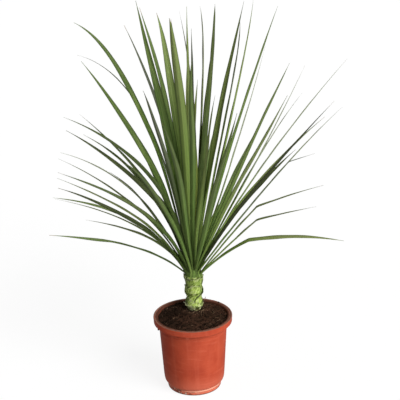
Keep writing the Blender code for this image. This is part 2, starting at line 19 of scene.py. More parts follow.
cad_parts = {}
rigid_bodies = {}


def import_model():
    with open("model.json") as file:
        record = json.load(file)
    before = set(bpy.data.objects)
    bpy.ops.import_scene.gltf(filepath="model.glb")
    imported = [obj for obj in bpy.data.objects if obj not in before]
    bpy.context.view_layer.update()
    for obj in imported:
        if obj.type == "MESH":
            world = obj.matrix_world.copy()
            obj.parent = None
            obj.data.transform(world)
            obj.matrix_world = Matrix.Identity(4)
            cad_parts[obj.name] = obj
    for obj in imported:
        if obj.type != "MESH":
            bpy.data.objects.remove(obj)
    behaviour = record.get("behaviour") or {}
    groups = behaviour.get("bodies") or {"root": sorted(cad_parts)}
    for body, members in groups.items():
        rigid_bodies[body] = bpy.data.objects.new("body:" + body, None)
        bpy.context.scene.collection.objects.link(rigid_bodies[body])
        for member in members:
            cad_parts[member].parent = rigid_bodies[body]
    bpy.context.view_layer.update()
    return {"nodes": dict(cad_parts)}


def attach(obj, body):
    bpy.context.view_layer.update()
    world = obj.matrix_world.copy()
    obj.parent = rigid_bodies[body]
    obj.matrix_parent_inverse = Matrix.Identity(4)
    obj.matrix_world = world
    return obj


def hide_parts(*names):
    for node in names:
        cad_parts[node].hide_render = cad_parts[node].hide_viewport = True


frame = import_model()
print("nodes:", sorted(frame["nodes"]))

# %% [markdown]
# ## Tools for surfaces
#
# Nearly every surface below is a grid: rows along it and columns across it. A modelling tool could make such
# a surface and then be corrected by hand. Working out all points of the grid at once, as an array, is
# shorter, and it lets one formula carry the shape from end to end.


# %% From a grid of points to a mesh
def grid_faces(rows, columns, closed=True, first=0):
    """The four corner numbers of each face in a grid. A closed grid joins its last column to its first."""
    row, column = np.mgrid[0:rows - 1, 0:columns if closed else columns - 1]
    here = first + row * columns + column
    beside = first + row * columns + (column + 1) % columns
    return np.stack([here, beside, beside + columns, here + columns], axis=-1).reshape(-1, 4)


def smooth_step(value, low, high):
    """0 below low, 1 above high, and an even S between them."""
    share = np.clip((np.asarray(value, dtype=float) - low) / (high - low), 0.0, 1.0)
    return share * share * (3.0 - 2.0 * share)


def full_circle(steps):
    """A row of even turns round a full circle, in radians."""
    return np.linspace(0.0, 2.0 * np.pi, steps, endpoint=False)[None, :]


def turned(radius, turns, height, centre=(0.0, 0.0)):
    """Points round an upright line: x is radius times cosine, y is radius times sine, beside the centre."""
    x = centre[0] + radius * np.cos(turns)
    y = centre[1] + radius * np.sin(turns)
    return np.stack(np.broadcast_arrays(x, y, height), axis=-1)


def put(name, data):
    """An object for a mesh, a light or a camera, linked to the scene."""
    item = bpy.data.objects.new(name, data)
    bpy.context.scene.collection.objects.link(item)
    return item


def new_piece(name, points, faces, marks=None, uv=None, sharp=None):
    """A smooth mesh object at the origin, with one number per point for each named mark."""
    mesh = bpy.data.meshes.new(name)
    mesh.from_pydata(points.reshape(-1, 3).tolist(), [], [list(face) for face in faces])
    for mark, values in (marks or {}).items():
        attribute = mesh.attributes.new(mark, "FLOAT", "POINT")
        attribute.data.foreach_set("value", np.ravel(values).astype(np.float32))
    if uv is not None:
        corners = np.empty(len(mesh.loops), dtype=np.int32)
        mesh.loops.foreach_get("vertex_index", corners)
        layer = mesh.uv_layers.new(name="UVMap")
        layer.data.foreach_set("uv", uv.reshape(-1, 2)[corners].astype(np.float32).ravel())
    mesh.validate()
    mesh.shade_smooth()
    if sharp is not None:
        mesh.set_sharp_from_angle(angle=math.radians(sharp))
    return put(name, mesh)


def place(piece, material, slot, *nodes):
    """Dress a piece, let it ride on the plant's only body, and name the CAD nodes that it stands for."""
    piece.data.materials.clear()
    piece.data.materials.append(material)
    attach(piece, "root")
    if nodes:
        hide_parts(*nodes)
    triangles = sum(len(face.vertices) - 2 for face in piece.data.polygons)
    print(f"{piece.name}: {triangles} triangles, stands for {', '.join(nodes) or 'nothing'}")


# %% Rough ground: noise as an array
LATTICE = 64


def lattice_noise(x, y, cell, seed):
    """Random heights on the crossings of a square lattice, joined by smooth S curves in between."""
    heights = np.random.default_rng(seed).uniform(-1.0, 1.0, (LATTICE, LATTICE))
    across, up = np.asarray(x) / cell, np.asarray(y) / cell
    column, row = np.floor(across).astype(int), np.floor(up).astype(int)
    right, top = smooth_step(across - column, 0.0, 1.0), smooth_step(up - row, 0.0, 1.0)

    def crossing(row, column):
        """The height on a crossing. The lattice repeats past its last row and column."""
        return heights[row % LATTICE, column % LATTICE]

    near = crossing(row, column) * (1 - right) + crossing(row, column + 1) * right
    far = crossing(row + 1, column) * (1 - right) + crossing(row + 1, column + 1) * right
    return near * (1 - top) + far * top


def rough(x, y, cell, seed, octaves=4):
    """Noise upon noise: each layer has half the cell and a little over half the height of the last."""
    layers = [0.55 ** n * lattice_noise(x, y, cell / 2 ** n, seed + n) for n in range(octaves)]
    return np.sum(layers, axis=0)


def blurred(field, reach):
    """A grid that is closed round its columns, averaged over a square of 2 * reach + 1 rows and columns."""
    wide = np.mean([np.roll(field, step, axis=1) for step in range(-reach, reach + 1)], axis=0)
    padded = np.pad(wide, ((reach, reach), (0, 0)), mode="edge")
    return np.mean([padded[step:step + len(field)] for step in range(2 * reach + 1)], axis=0)


sample = rough(np.arange(0.0, 1.0, 0.01), 0.3, 0.1, 1)
print("a line of this noise runs from", sample.min().round(2), "to", sample.max().round(2))

# %% [markdown]
# ## Tools for finishes
#
# Each finish is a network of shader nodes. A painted picture would be simpler to look at, but it would
# blur when seen close, so every stain, vein and speck here is a formula that stays sharp. Short helpers keep
# the networks readable.


# %% Shader helpers
def add(tree, kind, inputs=None, **settings):
    """A node with its settings, and with each named input linked to an output or set to a value."""
    node = tree.nodes.new("ShaderNode" + kind)
    for name, value in settings.items():
        setattr(node, name, value)
    for name, value in (inputs or {}).items():
        if isinstance(value, bpy.types.NodeSocket):
            tree.links.new(value, node.inputs[name])
        else:
            node.inputs[name].default_value = value
    return node


def maths(tree, operation, first, second=0.0):
    """One sum on two numbers, given back as an output."""
    return add(tree, "Math", {0: first, 1: second}, operation=operation).outputs[0]


def times(tree, first, second):
    """The product of two amounts, so that both have to hold."""
    return maths(tree, "MULTIPLY", first, second)


def between(tree, value, low, high, to_low=0.0, to_high=1.0):
    """Spread the part of a value from low to high over a new range, with soft ends."""
    inputs = {"Value": value, 1: low, 2: high, 3: to_low, 4: to_high}
    return add(tree, "MapRange", inputs, interpolation_type="SMOOTHSTEP").outputs[0]


def tint(tree, amount, under, over, mode="MIX"):
    """Lay a colour over another by an amount from 0 to 1."""
    node = add(tree, "Mix", data_type="RGBA", blend_type=mode)
    for socket, value in ((0, amount), (6, under), (7, over)):
        if isinstance(value, bpy.types.NodeSocket):
            tree.links.new(value, node.inputs[socket])
        else:
            node.inputs[socket].default_value = value if socket == 0 else (*value, 1.0)
    return node.outputs[2]


def layered(tree, colour, *layers):
    """Lay colours over a first one. Each comes in as its value goes from low to high, up to its own most."""
    for value, low, high, most, over in layers:
        colour = tint(tree, between(tree, value, low, high, 0.0, most), colour, over)
    return colour


def noise(tree, where, scale, detail=3.0, roughness=0.55, stretch=None):
    """A noise value from 0 to 1, on coordinates that may be stretched."""
    if stretch is not None:
        where = add(tree, "Mapping", {"Vector": where, "Scale": stretch}).outputs[0]
    inputs = {"Vector": where, "Scale": scale, "Detail": detail, "Roughness": roughness}
    return add(tree, "TexNoise", inputs).outputs[0]


def mark(tree, name):
    """The number that a mesh carries at each point under a name."""
    return add(tree, "Attribute", attribute_name=name).outputs["Fac"]


def new_finish(name, roughness, specular=0.5):
    """An empty material with its shader, and the place of each point on the object."""
    material = bpy.data.materials.new(name)
    material.use_nodes = True
    tree = material.node_tree
    shader = tree.nodes["Principled BSDF"]
    shader.inputs["Roughness"].default_value = roughness
    shader.inputs["Specular IOR Level"].default_value = specular
    where = add(tree, "TexCoord").outputs["Object"]
    return material, tree, shader, where


def dress(tree, shader, colour, roughness=None, height=None, depth=0.001):
    """Connect a finish's colour, roughness and fine relief to its shader."""
    tree.links.new(colour, shader.inputs["Base Color"])
    if roughness is not None:
        tree.links.new(roughness, shader.inputs["Roughness"])
    if height is not None:
        bump = add(tree, "Bump", {"Strength": 1.0, "Distance": depth, "Height": height})
        tree.links.new(bump.outputs[0], shader.inputs["Normal"])


print("helpers: add, maths, times, between, tint, layered, noise, mark, new_finish, dress")

# %% [markdown]
# ## The pot
#
# The pot is injection-moulded polypropylene: a lip that rolls over into a hanging skirt, a wall that tapers
# to a foot, and a raised drain channel underneath. It could be turned with a Screw modifier. Here the profile
# is swept by numpy, because its corners can then be smooth curves, and the moulded rings under the skirt are
# part of the same line.

# %% The pot's sizes, as the CAD model has them
POT_HEIGHT = 0.165
RIM_RADIUS = 0.085
RIM_LIP_WIDTH = 0.0095
SKIRT_HEIGHT = 0.013
SHOULDER_RADIUS = 0.0735
SHOULDER_HEIGHT = 0.150
WAIST_RADIUS = 0.0655
WAIST_HEIGHT = 0.018
FOOT_RADIUS = 0.058
FOOT_HEIGHT = 0.008
WALL = 0.0018
FLOOR = 0.0022
CHANNEL_INNER_RADIUS = 0.0295
CHANNEL_OUTER_RADIUS = 0.0485
CHANNEL_DEPTH = 0.003
CHANNEL_SLOPE = 0.0025
DRAIN_HOLES = 8
DRAIN_HOLE_RADIUS = 0.0045
# The floor is swept to this distance from the axis, which leaves a pinhole less than a millimetre wide
NEAR_AXIS = 0.0004
print("rim across:", 2000 * RIM_RADIUS, "mm, wall:", 1000 * WALL, "mm")


# %% Round off the corners of a profile
def rounded(corners, radius, steps=5):
    """Each corner of a line becomes a short curve that starts and ends up to one radius away from it.

    The curve is quadratic: (1-t)^2 of its start, 2t(1-t) of the corner and t^2 of its end.
    """
    corners = np.asarray(corners, dtype=float)
    before = corners[:-2] - corners[1:-1]
    after = corners[2:] - corners[1:-1]
    reach = [np.linalg.norm(side, axis=1, keepdims=True) for side in (before, after)]
    start = corners[1:-1] + before / reach[0] * np.minimum(radius, 0.45 * reach[0])
    end = corners[1:-1] + after / reach[1] * np.minimum(radius, 0.45 * reach[1])
    t = np.linspace(0.0, 1.0, steps)[None, :, None]
    curve = (1 - t) ** 2 * start[:, None] + 2 * t * (1 - t) * corners[1:-1, None] + t ** 2 * end[:, None]
    return np.vstack([corners[:1], curve.reshape(-1, 2), corners[-1:]])


# %% The pot's profile, from its lip down the outside and back up the inside
MOULD_RINGS = (0.1435, 0.1395, 0.1360)
RING_EDGES = np.array([0.0008, 0.0003, -0.0003, -0.0008])
RING_SWELL = np.array([0.0, 0.00022, 0.00022, 0.0])
OUTER_ROUNDING = 0.0010
INNER_ROUNDING = 0.0012
skirt_foot = POT_HEIGHT - SKIRT_HEIGHT
underlip = POT_HEIGHT - WALL
lip_edge = RIM_RADIUS - RIM_LIP_WIDTH
foot_inside = FOOT_RADIUS - WALL


def wall_radius(height):
    """Outer radius of the tapered wall at a height."""
    return np.interp(height, [WAIST_HEIGHT, SHOULDER_HEIGHT], [WAIST_RADIUS, SHOULDER_RADIUS])


def ring_profile(height):
    """One shallow ring where the mould was turned: the wall swells and comes back within 1.6 mm."""
    heights = height + RING_EDGES
    return list(zip(wall_radius(heights) + RING_SWELL, heights))


lip_line = [
    (lip_edge + 0.0002, POT_HEIGHT - 0.0016), (lip_edge + 0.0010, POT_HEIGHT - 0.0004),
    (RIM_RADIUS - 0.0050, POT_HEIGHT - 0.0003), (RIM_RADIUS - 0.0044, POT_HEIGHT - 0.0011),
    (RIM_RADIUS - 0.0036, POT_HEIGHT - 0.0011), (RIM_RADIUS - 0.0031, POT_HEIGHT),
    (RIM_RADIUS - 0.0002, POT_HEIGHT), (RIM_RADIUS, POT_HEIGHT - 0.0016),
    (RIM_RADIUS - 0.0007, skirt_foot + 0.0022), (RIM_RADIUS - 0.0005, skirt_foot + 0.0010),
    (RIM_RADIUS - 0.0010, skirt_foot), (RIM_RADIUS - 0.0026, skirt_foot),
    (RIM_RADIUS - 0.0022, underlip), (lip_edge + WALL, underlip), (SHOULDER_RADIUS, SHOULDER_HEIGHT),
]
wall_line = [point for height in MOULD_RINGS for point in ring_profile(height)]
foot_line = [
    (wall_radius(0.0300), 0.0300), (0.0653, 0.0215), (0.0644, 0.0178), (0.0625, 0.0146), (0.0601, 0.0124),
    (FOOT_RADIUS + 0.0004, FOOT_HEIGHT + 0.0035), (FOOT_RADIUS + 0.0013, FOOT_HEIGHT + 0.0026),
    (FOOT_RADIUS + 0.0007, FOOT_HEIGHT - 0.0002), (FOOT_RADIUS, FOOT_HEIGHT - 0.0010),
    (FOOT_RADIUS + 0.0002, 0.0012), (FOOT_RADIUS - 0.0008, 0.0), (CHANNEL_OUTER_RADIUS, 0.0),
    (CHANNEL_OUTER_RADIUS - CHANNEL_SLOPE, CHANNEL_DEPTH),
    (CHANNEL_INNER_RADIUS + CHANNEL_SLOPE, CHANNEL_DEPTH), (CHANNEL_INNER_RADIUS, 0.0), (NEAR_AXIS, 0.0),
]
inside_line = [
    (NEAR_AXIS, FLOOR), (CHANNEL_INNER_RADIUS, FLOOR),
    (CHANNEL_INNER_RADIUS + CHANNEL_SLOPE, FLOOR + CHANNEL_DEPTH),
    (CHANNEL_OUTER_RADIUS - CHANNEL_SLOPE, FLOOR + CHANNEL_DEPTH), (CHANNEL_OUTER_RADIUS, FLOOR),
    (foot_inside - 0.0004, FLOOR), (foot_inside - 0.0008, FOOT_HEIGHT + 0.0008),
    (WAIST_RADIUS - WALL, WAIST_HEIGHT + 0.0008), (SHOULDER_RADIUS - WALL, SHOULDER_HEIGHT),
    (lip_edge, POT_HEIGHT - 0.0026),
]
profile = np.vstack([
    rounded(lip_line + wall_line + foot_line, OUTER_ROUNDING), rounded(inside_line, INNER_ROUNDING)])
print("profile points:", len(profile))

# %% Sweep the profile
POT_STEPS = 160
POT_SHARP = 40
pot_points = turned(profile[::-1, 0, None], full_circle(POT_STEPS), profile[::-1, 1, None])
pot_faces = grid_faces(len(profile), POT_STEPS)
last_row = (len(profile) - 1) * POT_STEPS
seam = np.arange(POT_STEPS)
beside = (seam + 1) % POT_STEPS
closing = np.stack([last_row + seam, last_row + beside, beside, seam], axis=1)
pot_shell = new_piece("pot_shell", pot_points, np.vstack([pot_faces, closing]), sharp=POT_SHARP)
print("pot faces:", len(pot_faces) + len(closing))


# %% Eight drain holes
PLUG_LENGTH = 0.02


def drain_plug(turn, distance):
    """A plug through the channel floor, which a Boolean then takes away."""
    bpy.ops.mesh.primitive_cylinder_add(
        vertices=32, radius=DRAIN_HOLE_RADIUS, depth=PLUG_LENGTH,
        location=(distance * math.cos(turn), distance * math.sin(turn), FLOOR))
    return bpy.context.object


def baked(piece):
    """Apply what the modifiers of a piece make of it, and give the piece back."""
    bpy.context.view_layer.update()
    finished = piece.evaluated_get(bpy.context.evaluated_depsgraph_get())
    shape = bpy.data.meshes.new_from_object(finished)
    piece.modifiers.clear()
    piece.data = shape
    return piece


channel_middle = (CHANNEL_INNER_RADIUS + CHANNEL_OUTER_RADIUS) / 2.0
plugs = bpy.data.collections.new("drain plugs")
for number in range(DRAIN_HOLES):
    plugs.objects.link(drain_plug(2.0 * math.pi * (number + 0.5) / DRAIN_HOLES, channel_middle))
drain = pot_shell.modifiers.new("Drain holes", "BOOLEAN")
drain.operand_type = "COLLECTION"
drain.collection = plugs
baked(pot_shell)
for plug in list(plugs.objects):
    bpy.data.objects.remove(plug, do_unlink=True)
bpy.data.collections.remove(plugs)
pot_shell.data.set_sharp_from_angle(angle=math.radians(POT_SHARP))
print("pot with its holes:", len(pot_shell.data.polygons), "faces")

# %% [markdown]
# ### Moulded plastic
#
# New polypropylene is one even colour. This pot has been used: the tone is mottled, the flow of the melt left
# faint upright streaks, dust lies on the lip, and soil has splashed the foot. Each of these is a tint over
# the last, and so is painted light and shade: the lower wall and the foot are painted paler, the foot's ledge
# carries a painted highlight, the lip's inner side is painted in shade as well as stained, and the bottom
# edge carries a painted shadow. Fine scuffs and the dust also take some of the shine away.

# %% The plastic's finish
PLASTIC = (0.545, 0.084, 0.038)
PLASTIC_DEEP = (0.455, 0.060, 0.027)
PLASTIC_PALE_AND_LIT = (0.760, 0.185, 0.105)
LIP_DUST = (0.215, 0.125, 0.090)
# The ledge where the wall meets the foot carries a painted highlight
LEDGE_HIGHLIGHT = (0.950, 0.440, 0.300)
# Soil dirt, which also serves as the painted shadow along the bottom of the foot
DIRT_AND_SHADOW = (0.055, 0.028, 0.016)
# The lip's inner side is painted in shade and stained by the soil, and hard water has left lime on the foot
LIP_SHADE_AND_SOIL = (0.088, 0.031, 0.018)
LIME = (0.640, 0.500, 0.400)
# A small pale blister in the wall, under the skirt at the front
BLISTER_PLACE = (-0.0127, -0.0721, 0.1452)

plastic, tree, shader, where = new_finish("moulded_plastic", 0.42, 0.08)
across, height = [add(tree, "SeparateXYZ", {0: where}).outputs[n] for n in (0, 2)]
flat = add(tree, "VectorMath", {0: where, 1: (1.0, 1.0, 0.0)}, operation="MULTIPLY").outputs[0]
out = add(tree, "VectorMath", {0: flat}, operation="LENGTH").outputs["Value"]
up = add(tree, "SeparateXYZ", {0: add(tree, "NewGeometry").outputs["Normal"]}).outputs[2]
mottle = noise(tree, where, 26.0, 4.0)
streaks = noise(tree, where, 60.0, 3.0, stretch=(1.0, 1.0, 0.06))
bands = noise(tree, where, 16.0, 4.0, 0.6, stretch=(1.0, 1.0, 7.0))
grain = noise(tree, where, 900.0, 2.0)
scuffs = noise(tree, where, 70.0, 5.0, 0.7, stretch=(1.0, 1.0, 3.5))
print("plastic: noises for mottle, streaks, bands, grain and scuffs")

# %% Tones of the plastic, from the mould and from wear, and painted light on the lower wall, foot and ledge
blister = add(tree, "VectorMath", {0: where, 1: BLISTER_PLACE}, operation="DISTANCE").outputs["Value"]
# Painted light: the lower wall is painted paler towards the foot, and the top of the foot band paler still
colour = layered(
    tree, PLASTIC, (mottle, 0.35, 0.70, 1.0, PLASTIC_DEEP), (streaks, 0.48, 0.72, 0.20, PLASTIC_PALE_AND_LIT),
    (bands, 0.52, 0.70, 0.22, PLASTIC_PALE_AND_LIT), (scuffs, 0.60, 0.74, 0.25, PLASTIC_PALE_AND_LIT),
    (height, 0.055, 0.012, 0.55, PLASTIC_PALE_AND_LIT), (height, 0.0110, 0.0090, 0.85, PLASTIC_PALE_AND_LIT))
# Painted highlight along the foot's ledge, weaker towards the left
ledge = times(tree, between(tree, height, 0.0076, 0.0092), between(tree, height, 0.0145, 0.0112))
ledge_highlight = times(tree, ledge, between(tree, across, -0.045, 0.005, 0.25, 1.0))
colour = tint(tree, ledge_highlight, colour, LEDGE_HIGHLIGHT)
colour = layered(tree, colour, (blister, 0.0042, 0.0018, 0.45, PLASTIC_PALE_AND_LIT))
print("plastic tones: 3 reds")

# %% Dust on the lip, soil and painted shade inside it, soil on the foot, and a painted shadow along its bottom
on_lip = times(tree, between(tree, up, 0.10, 0.60), between(tree, height, 0.1580, 0.1625))
dust = times(tree, on_lip, between(tree, noise(tree, where, 90.0, 5.0, 0.65), 0.25, 0.55, 0.55, 1.0))
smear = noise(tree, where, 130.0, 4.0, 0.6, stretch=(1.0, 1.0, 0.5))
# Painted shade and soil stain on the lip's inner side, with a ragged edge
edge_of_soil = maths(tree, "ADD", out, times(tree, smear, 0.005))
lip_inside = times(tree, between(tree, edge_of_soil, 0.0840, 0.0805), between(tree, height, 0.150, 0.156))
left = between(tree, across, 0.010, -0.020, 0.12, 1.0)
splash = times(tree, between(tree, height, 0.020, 0.006), between(tree, scuffs, 0.46, 0.58))
dried = times(tree, between(tree, height, 0.015, 0.007), between(tree, smear, 0.52, 0.60))
for amount, most, over in (
        (dust, 0.88, LIP_DUST), (lip_inside, 0.92, LIP_SHADE_AND_SOIL),
        (times(tree, splash, left), 0.80, DIRT_AND_SHADOW), (times(tree, dried, left), 0.90, LIME)):
    colour = tint(tree, times(tree, amount, most), colour, over)
# Painted contact shadow: darker along the bottom of the foot
colour = layered(tree, colour, (height, 0.0042, 0.0012, 0.80, DIRT_AND_SHADOW))
dull = maths(tree, "ADD", between(tree, scuffs, 0.45, 0.70, 0.36, 0.52), times(tree, dust, 0.35))
relief = maths(tree, "ADD", times(tree, grain, 0.05), times(tree, streaks, 0.06))
dress(tree, shader, colour, dull, relief, 0.0012)
place(pot_shell, plastic, "pot_plastic", "pot")

# %% [markdown]
# ## The stem
#
# A young cordyline's stem is clothed in the bases of the leaves that were pulled off it. Each base clasps the
# stem like a shield: thickest at its torn upper edge, thinning downwards, with the next one tucked above it.
# They could be carved into one surface, but no gap would then open behind a torn edge. So the stem is a
# fibrous core, and every shield is a thin shell that grows out of the core at its foot.

# %% Where the shields are
STEM_X = 0.004
STEM_Y = 0.034
STEM_AXIS = (STEM_X, STEM_Y)
STEM_FOOT_HEIGHT = 0.122
STEM_TOP_HEIGHT = 0.244
STEM_BURIED_RADIUS = 0.0150
SOIL_AT_STEM = 0.1665
SHIELD_LENGTH = 0.020
# Each shield: compass turn of its middle in degrees, height of its torn edge there in millimetres, how far
# that edge rises per quarter turn, half its width in degrees, its thickness in tenths of a millimetre, how
# far its edge sags at both ends in millimetres, and how bright it is painted, its own tone with painted light
SHIELDS = [
    (318, 200.0, 21, 58, 26, 2, 0.95), (262, 223.5, 8, 58, 11, 10, 1.00), (212, 200.5, -27, 46, 20, 1, 0.45),
    (262, 187.5, -6, 50, 13, 6, 0.95), (290, 240.0, 0, 75, 14, 3, 0.50), (195, 238.5, 3, 50, 14, 4, 0.35),
    (112, 238.0, 12, 60, 16, 5, 0.50), (20, 236.0, 14, 55, 15, 5, 0.45), (45, 220.0, 20, 56, 20, 8, 0.60),
    (150, 216.0, 18, 56, 20, 8, 0.60), (85, 200.0, 20, 54, 22, 6, 0.80), (8, 187.0, 16, 44, 17, 5, 0.50),
    (165, 187.0, -18, 46, 17, 4, 0.50), (110, 181.0, 16, 46, 16, 4, 0.70), (50, 179.0, -12, 46, 15, 4, 0.60),
]

# Height and radius of the stem under its shields: waisted, and plain where it is buried
STEM_PROFILE = np.array([
    (0.1685, STEM_BURIED_RADIUS), (0.1750, 0.0182), (0.1840, 0.0166), (0.1920, 0.0142), (0.1975, 0.0152),
    (0.2050, 0.0176), (0.2180, 0.0168), (0.2300, 0.0180), (0.2370, 0.0188), (STEM_TOP_HEIGHT, 0.0190),
])


def stem_core_radius(height):
    """Radius of the stem under its shields at a height, straight between the points of its profile."""
    return np.interp(height, *STEM_PROFILE.T)


def torn_edge(shield, turn):
    """Height of a shield's torn edge at a compass turn, and how far aside that is, -1 to 1 over the shield.

    From its middle the edge rises evenly with the turn, and it sags by the square of the distance aside.
    """
    middle, top, rise, half_width, _, sag, _ = shield
    aside = (turn - middle + 180.0) % 360.0 - 180.0
    return (top + rise * aside / 90.0 - sag * (aside / half_width) ** 2) / 1000.0, aside / half_width


def tucked_in(turn, height, top=math.inf):
    """From 0 to 1: how near a point lies above the torn edge of an older shield, where little light comes."""
    dark = 0.0 * (turn + height)
    for shield in SHIELDS:
        older_top, thickness = shield[1], shield[4]
        edge_height, aside = torn_edge(shield, turn)
        above = height - edge_height
        uneven = 0.5 + 0.5 * rough(turn, 0.0 * turn + older_top, 22.0, 61, 2)
        near = (1.0 - smooth_step(above, 0.0, 0.0025 + 0.0095 * uneven)) * (0.45 + 0.55 * uneven)
        covered = (above > -0.0015) & (np.abs(aside) < 1.0) & (older_top < top)
        dark = np.maximum(dark, near * min(1.0, thickness / 20.0) * covered)
    return dark


print("shields:", len(SHIELDS))

# %% The stem's core
STEM_COLUMNS = 240
FIBRE_DEGREES = 4.5
KNOB_CELL = 1.5708
above_ground = np.linspace(SOIL_AT_STEM, STEM_TOP_HEIGHT, 200)
turn_grid, height_grid = np.broadcast_arrays(
    full_circle(STEM_COLUMNS), np.concatenate([[STEM_FOOT_HEIGHT, 0.160], above_ground])[:, None])
fibre_number = np.round(np.degrees(turn_grid) / FIBRE_DEGREES)
fibres = 0.00014 * np.sin(fibre_number * 40.0 + 90.0 * height_grid)
knobs = 0.00050 * rough(turn_grid * 6.0, height_grid * 300.0, KNOB_CELL, 35, 3)
uncovered = smooth_step(height_grid, SOIL_AT_STEM, 0.1740)
stem_radius = stem_core_radius(height_grid) + uncovered * (fibres + knobs)
hollow = blurred(stem_radius, 4) - stem_radius
stem_points = turned(stem_radius, turn_grid, height_grid, STEM_AXIS)
print("stem from", stem_radius.min().round(4), "to", stem_radius.max().round(4), "m in radius")


# %% Close a turned surface at both ends
def with_ends(points, marks):
    """Add a middle point below and above a closed grid, and the faces that join them to it."""
    rows, columns = points.shape[:2]
    ends = np.stack([points[0].mean(axis=0), points[-1].mean(axis=0)])
    first, last = rows * columns, rows * columns + 1
    column = np.arange(columns)
    beside = (column + 1) % columns
    bottom = np.stack([np.full(columns, first), beside, column], axis=1)
    top_row = (rows - 1) * columns
    top = np.stack([np.full(columns, last), top_row + column, top_row + beside], axis=1)
    faces = list(grid_faces(rows, columns)) + list(bottom) + list(top)
    marks = {name: np.append(np.ravel(values), [0.0, 0.0]) for name, values in marks.items()}
    return np.vstack([points.reshape(-1, 3), ends]), faces, marks


# Painted light: the side of the stem that faces the viewer is painted brightest
PAINTED_LIT_SIDE = 266.0
# Painted shade: darker above the edge of an older shield and in the core's hollows, and a little everywhere
shade = np.maximum(
    tucked_in(np.degrees(turn_grid), height_grid), 0.6 * np.clip(hollow / 0.0006, 0.0, 1.0))
painted_lit_side = 0.9 * np.exp(-((np.degrees(turn_grid) - PAINTED_LIT_SIDE) / 45.0) ** 2)
stem_marks = {"crevice_shade": np.maximum(shade, 0.12), "rim": 0.0 * hollow, "tone_and_light": painted_lit_side}
stem_core = new_piece("stem_core", *with_ends(stem_points, stem_marks), sharp=60)
print("core faces:", len(stem_core.data.polygons))


# %% Thin strips with two sides
def ring_of(across):
    """A strip's cross-section: u runs from -1 to 1 on the upper side, and back on the under side."""
    u = np.linspace(-1.0, 1.0, across)
    return np.concatenate([u, u[::-1]]), np.concatenate([np.zeros(across), np.ones(across)])


def strip_faces(first, rows, across):
    """The faces of one strip: a closed grid, and at each end quads that join its upper and under side."""
    columns = 2 * across
    sides = grid_faces(rows, columns, first=first)
    step = np.arange(across - 1)
    start = np.stack([step, columns - 1 - step, columns - 2 - step, step + 1], axis=1) + first
    end = start[:, ::-1] + (rows - 1) * columns
    return np.vstack([sides[:, ::-1], start[:, ::-1], end[:, ::-1]])


def join_strips(name, made, sharp=70):
    """One piece from many strips of one grid size, each given as points, marks and UV."""
    rows, columns = made[0][0].shape[:2]
    faces = np.vstack([
        strip_faces(number * rows * columns, rows, columns // 2) for number in range(len(made))])
    points = np.concatenate([entry[0].reshape(-1, 3) for entry in made])
    marks = {key: np.concatenate([np.ravel(entry[1][key]) for entry in made]) for key in made[0][1]}
    uv = np.concatenate([entry[2].reshape(-1, 2) for entry in made])
    return new_piece(name, points, faces, marks, uv, sharp=sharp)


print("one strip of 3 rows:", len(strip_faces(0, 3, 4)), "faces")

# %% A shield as a shell
SHELL_ROWS, SHELL_ACROSS = 30, 41
shell_draw = np.random.default_rng(19)


def shell(shield, length=SHIELD_LENGTH, ragged=0.0016):
    """A leaf base. v runs from 0 at its foot to 1 at its torn edge, and u across it.

    Its foot is level, and its torn edge follows the shield's row plus noise. The shell stands off the core by
    v times its thickness, less at its flanks, and curls out at its very edge. Its inner side lies a thin wall
    further in.
    """
    middle, top, _, half_width, thickness, _, brightness = shield
    u, under = [part[None, :] for part in ring_of(SHELL_ACROSS)]
    v = np.linspace(0.0, 1.0, SHELL_ROWS)[:, None] ** 0.8
    own = shell_draw.uniform(0.0, 50.0)
    teeth = rough(u * 2.0 + own, 0.0 * u + own, 0.5, 41, 4) + 0.8 * np.abs(np.sin(31.0 * u + own)) ** 3
    rim = torn_edge(shield, middle + half_width * u)[0] + ragged * teeth
    foot = top / 1000.0 - length
    height = foot + v * (rim - foot)
    turn = np.radians(middle + half_width * u) + 0.02 * np.sin(400.0 * height + own)
    flank = 1.0 - 0.85 * smooth_step(np.abs(u), 0.78, 1.0)
    stand = thickness / 10000.0 * v * flank + 0.0007 * smooth_step(v, 0.84, 1.0) * flank
    rib = 0.00014 * np.sin(48.0 * u + 3.0 * np.sin(9.0 * v + own)) * v
    swell = 0.00045 * rough(u * 3.0 + own, v * 2.0 + own, 1.0, 43, 3)
    wall = 0.00055 + 0.0009 * (1.0 - v)
    radius = stem_core_radius(height) + 0.0003 + stand + rib + swell - (1.0 - under) * wall
    blank = np.zeros_like(radius)
    torn_flank = 0.7 * smooth_step(np.abs(u), 0.90, 1.0) * smooth_step(v, 0.3, 0.7)
    torn = np.maximum(smooth_step(v, 0.91, 1.0), torn_flank)
    # Painted shade: above an older shield's edge, near the foot and on the inner side. The torn rim loses its
    # cream where it falls
    dark = tucked_in(np.degrees(turn), height, top)
    dark_foot = 0.5 * (1.0 - smooth_step(v, 0.0, 0.35))
    marks = {
        "crevice_shade": np.maximum(np.maximum(0.9 * (1.0 - under), dark), dark_foot),
        "rim": blank + torn * (1.0 - dark), "tone_and_light": blank + brightness}
    return turned(radius, turn, height, STEM_AXIS), marks, np.stack([u + blank, v + blank], axis=-1)


leaf_shields = join_strips("leaf_shields", [shell(shield) for shield in SHIELDS])
print("faces of the shields:", len(leaf_shields.data.polygons))

# %% The torn collar at the top of the stem, and crumpled scraps at its foot
STUB_RAGGED = 0.0014


def stubs(count, stray, tops, half_widths, thicknesses, sag, brightness, length):
    """Short torn shells all round the stem, each with its numbers drawn between two limits."""
    return [
        shell((
            360.0 * number / count + shell_draw.uniform(-stray, stray), shell_draw.uniform(*tops),
            shell_draw.uniform(-40, 40), shell_draw.uniform(*half_widths), shell_draw.uniform(*thicknesses),
            sag, shell_draw.uniform(*brightness)), length, STUB_RAGGED)
        for number in range(count)]


